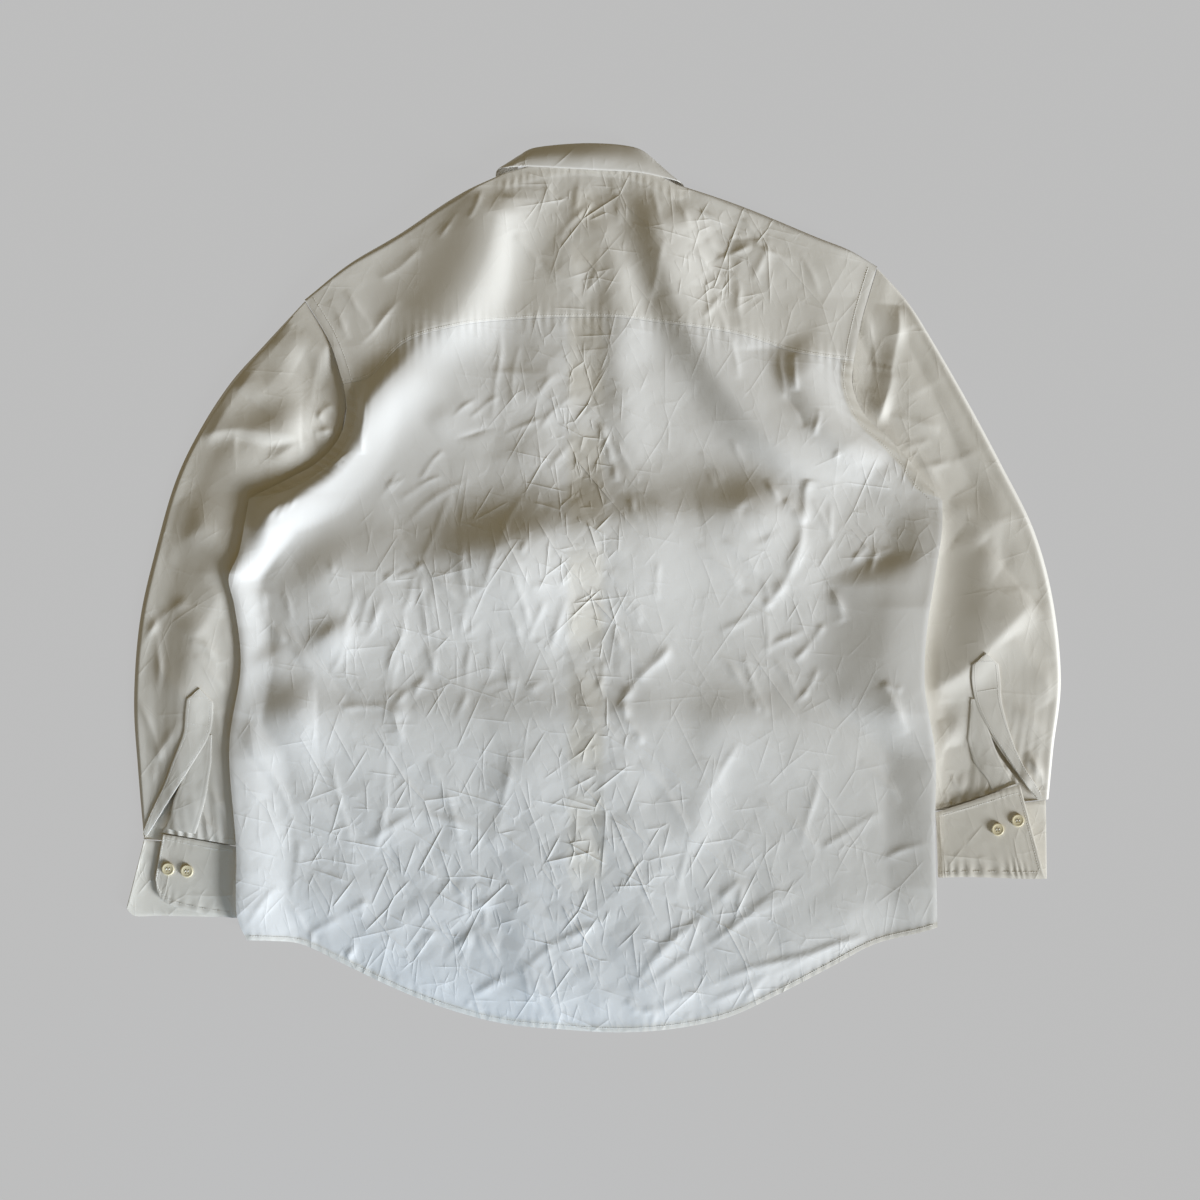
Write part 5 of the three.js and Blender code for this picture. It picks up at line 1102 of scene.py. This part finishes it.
def make_front_band():
    """The strip with the buttonholes: a flat grid, dipped along each row of stitches and at each hole."""
    low = hem_line(hem_share(BAND_MIDDLE))[1] + FRONT_RISE + SEAM
    high = STAND[0][1] - NECK_CLEAR - 2 * SEAM
    x, y = np.meshgrid(BAND_MIDDLE + np.linspace(-0.5, 0.5, 25) * BAND_WIDTH, np.linspace(low, high, 300))
    top = np.full(x.shape, 3.7)
    off = np.abs(np.abs(x - BAND_MIDDLE) - 14)
    under = 2.85 + 0.2 * np.exp(-(off / 0.9) ** 2)
    for i in range(BAND_BUTTONS):
        hole = np.maximum(np.abs(x - BAND_MIDDLE) * 2.2, np.abs(y - FIRST_BUTTON + BUTTON_PITCH * i) - 7)
        under += 0.35 * np.exp(-(hole / 1.6) ** 2)
    return shell("front_band_strip", np.dstack([x, y, top]), np.dstack([x, y, under]),
                 flat_marks(x, 0.6, 0.2), np.dstack([x, y]), STRIP_COTTON)


def section_grid(rows, count, cells, thickness):
    """A strip between a sewn edge and a fold, row by row, arched between them."""
    s, t = np.meshgrid(np.linspace(0, 1, count), np.linspace(0, 1, cells), indexing="ij")
    at = [along(column(rows, k), s) for k in range(7)]
    z = lerp(at[2], at[5], t) + at[6] * np.sin(np.pi * t)
    return np.stack([lerp(at[0], at[3], t), lerp(at[1], at[4], t), np.maximum(z, thickness / 2)], -1), s, t


def make_collar_leaf():
    """The leaf: its strip, with puckers along its edge stitching and soft creases over its roll."""
    grid, s, t = section_grid(LEAF, 281, 37, 1.2)
    run, off = s * LEAF_LENGTH, t * LEAF_HEIGHT
    showing = smooth(0.3, 0.4, s) * smooth(0.7, 0.6, s)
    fine = 0.3 * pucker(run, off - 5, 9, 8, 1.5) * showing
    fine += 0.45 * facets(run, off, 21, 0.4, 1.6, 12) * showing * np.sin(np.pi * t)
    fine = np.maximum(fine - 0.2 * np.exp(-(off - 5.5) ** 2), -0.45)
    uv, marks = np.dstack([run, off]), flat_marks(grid, 0.25, 0.5)
    return wall("collar_leaf_piece", grid, 1.1, fine, uv, marks, COTTON)


def make_collar_stand():
    """The stand: a plain strip that shows only below the leaf's roll."""
    grid, s, t = section_grid(STAND, 221, 11, 1.0)
    uv = np.dstack([s * STAND_LENGTH, t * STAND_HEIGHT])
    return wall("collar_stand_piece", grid, 0.9, np.zeros(s.shape), uv, flat_marks(grid, 0.3, 0.3), COTTON)


def inside_of(polygon, x, y):
    """Whether places lie inside a polygon: an odd number of its edges are crossed going right."""
    inside = np.zeros(x.shape, bool)
    for (ax, ay), (bx, by) in zip(polygon, polygon[1:] + polygon[:1]):
        crosses = (ay > y) != (by > y)
        inside ^= crosses & (x < (bx - ax) * (y - ay) / (by - ay if by != ay else 1e-9) + ax)
    return inside


def snap_to(points, polygon, reach=2.2):
    """Moves the points that lie within reach of a polygon's outline on to it, in plan."""
    best, place = np.full(len(points), 1e9), points[:, :2].copy()
    closed = np.array(polygon + polygon[:1], float)
    for p, q in zip(closed[:-1], closed[1:]):
        step = q - p
        share = np.clip((points[:, :2] - p) @ step / (step @ step), 0, 1)[:, None]
        foot = p + share * step
        gap = np.linalg.norm(foot - points[:, :2], axis=1)
        nearer = gap < best
        best[nearer], place[nearer] = gap[nearer], foot[nearer]
    near = best < reach
    points[near, :2] = place[near]
    return points


def make_sleeve(name):
    """A flattened tube of two faces; cells inside the slit are left out of its top, and rims close it."""
    rows, around = 231, 184
    total, half = rows * around, around // 2
    outer, s, t = sleeve_grid(name, rows, around, 0.0)
    inner, _, _ = sleeve_grid(name, rows, around, SLEEVE_WALL)
    polygon = SIDES[name]["slit"]
    upper_half = np.arange(around) <= half
    at = np.arange(total).reshape(rows, around)
    cells = (at[:-1], np.roll(at[:-1], -1, 1), np.roll(at[1:], -1, 1), at[1:])
    middle = (outer[:-1] + np.roll(outer[:-1], -1, 1) + outer[1:] + np.roll(outer[1:], -1, 1)) / 4
    gone = inside_of(polygon, middle[..., 0], middle[..., 1]) & (upper_half & np.roll(upper_half, -1))[None]
    kept, cut = (np.stack([corner[which] for corner in cells], 1) for which in (~gone, gone))
    border = np.intersect1d(kept, cut)
    points = np.concatenate([outer.reshape(-1, 3), inner.reshape(-1, 3)])
    for spots in (border, border + total):
        points[spots] = snap_to(points[spots], polygon)
    outer = points[:total].reshape(rows, around, 3)
    edges = np.concatenate([kept[:, [0, 1]], kept[:, [1, 2]], kept[:, [2, 3]], kept[:, [3, 0]]])
    key = np.sort(edges, 1) @ [total, 1]
    _, first, counts = np.unique(key, return_index=True, return_counts=True)
    a, b = edges[first[counts == 1]].T
    faces = [kept, kept[:, ::-1] + total, np.stack([b, a, a + total, b + total], 1)]
    used = np.unique(np.concatenate([f.reshape(-1) for f in faces]))
    renumber = np.full(len(points), -1)
    renumber[used] = np.arange(len(used))
    across = outer[:, 0] - outer[:, half]
    girth = np.where(upper_half, t, 2 - t) * np.hypot(across[:, 0], across[:, 1])[:, None]
    uv = np.dstack([girth, s * SLEEVE_LENGTH]).reshape(-1, 2)
    share = 0.22 + 0.3 * smooth(0.9, 1, s)
    marks = {"layers": np.full(len(used), 0.75), "crumple": np.tile(share.reshape(-1), 2)[used]}
    piece = make_mesh(f"{name}_sleeve", points[used], [renumber[f] for f in faces],
                      np.concatenate([uv, uv])[used], marks, COTTON)
    return piece, outer[:, :half + 1]


def carried(spots, x, y, spread=3.0):
    """Height of the cloth under a place: a mean of nearby points that favours the near and the high."""
    box = ((spots[:, 0] > x.min() - 9) & (spots[:, 0] < x.max() + 9)
           & (spots[:, 1] > y.min() - 9) & (spots[:, 1] < y.max() + 9))
    spots = spots[box]
    gap = (x.reshape(-1, 1) - spots[:, 0]) ** 2 + (y.reshape(-1, 1) - spots[:, 1]) ** 2
    weight = np.exp(-gap / (2 * spread ** 2) + 1.2 * spots[:, 2])
    return ((weight * spots[:, 2]).sum(1) / weight.sum(1)).reshape(x.shape)


def pointed(values, s):
    """A column of a table that runs straight through its first span, then smoothly."""
    place = s * (len(values) - 1)
    straight = np.interp(place, np.arange(len(values)), values)
    return np.where(place < 1, straight, along([2 * values[1] - values[2]] + list(values[1:]), s))


def make_placket(name, key, top):
    """A strip laid on its sleeve: folded edges, and a dip beside each row of stitches."""
    rows = SIDES[name][key]
    s, t = np.meshgrid(np.linspace(0, 1, 91), np.linspace(0, 1, 21), indexing="ij")
    x = lerp(pointed(column(rows, 0), s), pointed(column(rows, 2), s), t)
    y = lerp(pointed(column(rows, 1), s), pointed(column(rows, 3), s), t)
    z = carried(top.reshape(-1, 3), x, y) + (0.6 if key == "tower" else 0.15)
    edge = np.minimum(t, 1 - t)
    fine = 0.6 - 0.18 * np.exp(-((edge - 0.11) / 0.03) ** 2) + 0.16 * facets(x, y, 13, 0.4, 1.5, 15)
    fine *= smooth(0, 0.05, edge) * 0.6 + 0.4
    uv = np.dstack([t * PLACKET_WIDTH, s * PLACKET_LENGTH])
    piece = shell(f"{key}_placket_{name}_strip", np.dstack([x, y, z + np.maximum(fine, 0.2)]),
                  np.dstack([x, y, z - 0.1]), flat_marks(x, 0.5, 0.3), uv, STRIP_COTTON)
    return piece, np.dstack([x, y, z + fine])


def make_cuff(name):
    """A cuff: its strip with a dip along each row of stitches, and puckers along its lower edge. The
    right one is turned over, so its grid runs the other way and its detail still lies on top."""
    rows = SIDES[name]["cuff"]
    s, t = np.meshgrid(np.linspace(0, 1, 181), np.linspace(0, 1, 45), indexing="ij")
    at = [along(column(rows, k), s) for k in range(5)]
    grid = np.dstack([lerp(at[0], at[2], t), lerp(at[1], at[3], t), np.maximum(at[4], 0.75)])
    run, off = s * CUFF_LENGTH, t * CUFF_HEIGHT
    edge = np.minimum(np.minimum(off, CUFF_HEIGHT - off), np.minimum(run, CUFF_LENGTH - run))
    fine = 0.22 * smooth(5.5, 4.5, edge) - 0.2 * np.exp(-((edge - 5.0) / 0.8) ** 2)
    gather = 0.35 if name == "left" else 0.95
    fine += gather * pucker(run, off - 60, 7.4, 5, 5.0) * smooth(6, 34, run)
    fine += 0.15 * pucker(run, off - 4, 9, 4, 6.0)
    fine += 0.35 * facets(run, off, 30, 0.5, 1.7, 17) * smooth(3, 12, edge)
    fine = np.maximum(fine, -0.4)
    uv = np.dstack([run, off])
    if name == "right":
        grid, fine, uv = grid[:, ::-1], fine[:, ::-1], uv[:, ::-1]
    # both cuffs take the full warm tint: their doubled cloth, and painted warm shade across them
    return wall(f"{name}_cuff", grid, 1.3, fine, uv, flat_marks(grid, 1.0, 0.5), COTTON), grid


# ---------------------------------------------------------------- buttons and stitches
def button_grid(face_up):
    """A lathe of a dished face with a raised rim, sunk by a smooth step at each of its four holes."""
    outside = [(0, 0), (2.6, 0), (5.4, 0), (6.0, 0.25), (BUTTON_RADIUS, 0.7), (BUTTON_RADIUS, 1.4),
               (6.15, 1.8), (5.75, BUTTON_HEIGHT), (5.2, BUTTON_HEIGHT), (4.6, 1.85), (4.1, 1.7)]
    dish = [(r, 1.65) for r in np.linspace(3.8, 0, 19)]
    r, h = np.array(outside + dish).T
    angle = 2 * np.pi * np.arange(48) / 48
    x, y = r[:, None] * np.cos(angle), r[:, None] * np.sin(angle)
    z = np.broadcast_to(h[:, None], x.shape).copy()
    for hx, hy in ((1, 1), (-1, 1), (-1, -1), (1, -1)):
        hole = np.hypot(x - hx * HOLE_PLACE, y - hy * HOLE_PLACE)[len(outside):]
        z[len(outside):] -= 1.2 * smooth(HOLE_RADIUS, 0.6, hole)
    if not face_up:
        y, z = -y, BUTTON_HEIGHT - z
    return np.dstack([x, y, z])


def make_button(name, x, y, z, face_up):
    """A button: its lathe closed at both poles."""
    grid = button_grid(face_up) + [x, y, z]
    rows, around = grid.shape[:2]
    at = np.arange(rows * around).reshape(rows, around)[1:-1] - around + 2
    after = np.roll(at, -1, 1)
    quads = np.stack([at[:-1], after[:-1], after[1:], at[1:]], -1).reshape(-1, 4)
    low = np.stack([np.zeros(around, int), after[0], at[0]], 1)
    high = np.stack([np.ones(around, int), at[-1], after[-1]], 1)
    points = np.concatenate([grid[:1, 0], grid[-1:, 0], grid[1:-1].reshape(-1, 3)])
    marks = {"layers": np.zeros(len(points))}
    return make_mesh(name, points, [quads, low, high], points[:, :2].copy(), marks, BUTTON, sharp=1.2)


def along_line(line, share, place):
    """Points of a line at places along its length."""
    return np.stack([np.interp(place, share, line[:, k]) for k in range(3)], -1)


def stitch_points(lines_of_points, pitch, length, radius):
    """Stitches along lines: each is two rings of four points between two tips, laid along the line."""
    parts = []
    for line in lines_of_points:
        share = np.concatenate([[0], np.cumsum(np.linalg.norm(np.diff(line, axis=0), axis=1))])
        middle = np.arange(pitch / 2, share[-1], pitch)
        start, end = (along_line(line, share, middle + k * length / 2) for k in (-1, 1))
        step = end - start
        step /= np.maximum(np.linalg.norm(step, axis=1, keepdims=True), 1e-9)
        side = np.cross(step, [0, 0, 1.0])
        side /= np.maximum(np.linalg.norm(side, axis=1, keepdims=True), 1e-9)
        up = np.cross(side, step)
        ring = np.stack([side, up, -side, -up], 1) * radius
        rings = [lerp(start, end, place)[:, None] + ring for place in (0.2, 0.8)]
        parts.append(np.concatenate([start[:, None], *rings, end[:, None]], 1))
    return np.concatenate(parts)


def make_stitches(name, lines_of_points, pitch=2.6, length=1.9, radius=0.28):
    """One piece of many stitches, each of four walls and eight faces at its tips."""
    stitches = stitch_points(lines_of_points, pitch, length, radius)
    first = np.arange(len(stitches))[:, None, None] * 10
    tips = np.array([[0, 2, 1], [0, 3, 2], [0, 4, 3], [0, 1, 4], [9, 5, 6], [9, 6, 7], [9, 7, 8], [9, 8, 5]])
    walls = np.array([[1, 2, 6, 5], [2, 3, 7, 6], [3, 4, 8, 7], [4, 1, 5, 8]])
    points = stitches.reshape(-1, 3)
    marks = {"layers": np.zeros(len(points)), "crumple": np.zeros(len(points))}
    faces = [(first + walls).reshape(-1, 4), (first + tips).reshape(-1, 3)]
    piece = make_mesh(name, points, faces, points[:, :2].copy(), marks, THREAD_COTTON)
    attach(piece, "root")
    return piece


def on_body(place):
    """A line in plan, carried up to the body's upper face."""
    base, fine, _, _ = body_sheet(place[:, 0], place[:, 1])
    return np.column_stack([place, base + fine + 0.12])


def on_grid(grid, s, t, above):
    """A line over a grid of a strip, at shares s and t of its rows and columns, raised square to it."""
    normal = normals_of(grid)
    s, t = np.broadcast_arrays(np.asarray(s, float), np.asarray(t, float))
    i, j = s * (grid.shape[0] - 1), t * (grid.shape[1] - 1)
    i0, j0 = np.minimum(i.astype(int), grid.shape[0] - 2), np.minimum(j.astype(int), grid.shape[1] - 2)
    a, b = (i - i0)[:, None], (j - j0)[:, None]
    raised = grid + normal * above
    near = lerp(raised[i0, j0], raised[i0, j0 + 1], b)
    far = lerp(raised[i0 + 1, j0], raised[i0 + 1, j0 + 1], b)
    return lerp(near, far, a)


def sew(name, grid, rows, above):
    """Rows of stitches over a grid, each given by its shares along and across."""
    return make_stitches(f"{name}_stitches", [on_grid(grid, s, t, above) for s, t in rows])


def add_placket(name, key, sleeve_top_grid):
    """One placket of a sleeve, with its stitches where it is the wide one."""
    node = f"{key}_placket_{name}"
    strip, grid = make_placket(name, key, sleeve_top_grid)
    extra = []
    if key == "tower":
        run, hatch = np.linspace(0.08, 0.97, 120), np.linspace(0.1, 0.9, 20)
        extra = [sew(node, grid, [(run, 0.11), (run, 0.89), (0.30, hatch), (0.09, hatch)], 0.1)]
    dress(strip, node)


def add_cuff_button(name, i, x, y, cuff_points):
    """A button seated on the highest point of the cuff below it, with two threads between its holes."""
    near = np.hypot(cuff_points[:, 0] - x, cuff_points[:, 1] - y) < BUTTON_RADIUS + 0.2
    seat = cuff_points[near & (cuff_points[:, 2] > 3), 2].max() + 0.4
    button = make_button(f"{name}_cuff_button_{i}", x, y, seat, True)
    dress(button, f"cuff_button_{name}_{i}")
    threads = [np.array([[x + dx, y - HOLE_PLACE, seat + 1.7], [x + dx, y + HOLE_PLACE, seat + 1.7]])
               for dx in (-HOLE_PLACE, HOLE_PLACE)]
    make_stitches(f"{name}_cuff_button_{i}_thread", threads, 2.5, 2.9, 0.42)


# ---------------------------------------------------------------- the shirt
hem_run = np.linspace(0.004, 0.996, 300)
armhole_run = np.linspace(0.01, 0.97, 200)
sewn_lines = [beside(hem_line, hem_run, HEM_STITCH), beside(seam_line, hem_run, SEAM_STITCH)]
for side_name, side in SIDES.items():
    sewn_lines.append(beside(lines[side_name]["armhole"], armhole_run, -side["sign"] * FELLED_STITCH))
body_stitches = make_stitches("body_stitches", [on_body(line) for line in sewn_lines])

for side_name, side in SIDES.items():
    sleeve, sleeve_top_grid = make_sleeve(side_name)
    cuff, cuff_grid = make_cuff(side_name)
    cuff_run, cuff_tie = np.linspace(0.03, 0.97, 240), np.linspace(0.09, 0.91, 60)
    cuff_rows = [(cuff_run, 0.924), (cuff_run, 0.076), (0.024, cuff_tie), (0.976, cuff_tie)]
    cuff_stitches = sew(f"{side_name}_cuff", cuff_grid, cuff_rows, 0.72)
    dress(sleeve, f"sleeve_{side_name}")
    dress(cuff, f"cuff_{side_name}")
    for key in ("tower", "under"):
        add_placket(side_name, key, sleeve_top_grid)
    for i, (bx, by) in enumerate(side["buttons"], 1):
        add_cuff_button(side_name, i, bx, by, cuff_grid.reshape(-1, 3))

back, yoke = make_back(), make_yoke()
leaf, stand, band = make_collar_leaf(), make_collar_stand(), make_front_band()
dress(back, "back")
dress(yoke, "yoke")
dress(leaf, "collar_leaf")
dress(stand, "collar_stand")
dress(band, "front_band")
for side_name in SIDES:
    dress(make_front(side_name), f"{side_name}_front")
for i in range(BAND_BUTTONS):
    button_y = FIRST_BUTTON - BUTTON_PITCH * i
    button = make_button(f"front_band_button_{i + 1}", BAND_MIDDLE, button_y, 0, False)
    dress(button, f"front_button_{i + 1}")
dress(make_button("collar_stand_button", 9, 337, 0, False), "collar_button")


# ---------------------------------------------------------------- floor, light and camera
def make_floor(half=3.0, z=-0.0005):
    """A plain pale surface, lit a little from within so that it stays even."""
    material, _, _ = new_material("pale_floor", Base_Color=(0.03, 0.03, 0.03, 1), Roughness=1.0,
                                  Specular_IOR_Level=0.0, Emission_Color=(1, 1, 1, 1),
                                  Emission_Strength=0.495)
    mesh = bpy.data.meshes.new("floor")
    corners = [(-half, -half, z), (half, -half, z), (half, half, z), (-half, half, z)]
    mesh.from_pydata(corners, [], [(0, 1, 2, 3)])
    mesh.materials.append(material)
    return place_in_scene("floor", mesh)


make_floor()

window = bpy.data.lights.new("window", "SUN")
window.energy = 5.3
window.angle = 0.35
window.color = (0.885, 0.945, 1.02)
towards_window = Vector((0.80, -0.60, 0.27))
place_in_scene("window", window, towards_window * 3, towards_window)

sky = bpy.data.lights.new("sky", "AREA")
sky.energy = 1.1
sky.size = 0.5
sky.color = (0.3, 0.6, 1.0)
sky_place, sky_target = Vector((-0.2, -0.72, 0.3)), Vector((-0.15, -0.3, 0))
place_in_scene("sky", sky, sky_place, sky_place - sky_target)

room = bpy.data.worlds.new("room")
room.use_nodes = True
set_inputs(room.node_tree.nodes["Background"], {"Color": (1.0, 0.80, 0.42, 1), "Strength": 0.165})
bpy.context.scene.world = room
bpy.context.scene.view_settings.view_transform = "Standard"

lens = bpy.data.cameras.new("overhead")
lens.sensor_width = 36
lens.lens = 60
lens.clip_end = 20
bpy.context.scene.camera = place_in_scene("overhead", lens, (0.0065, -0.0125, 2.006))
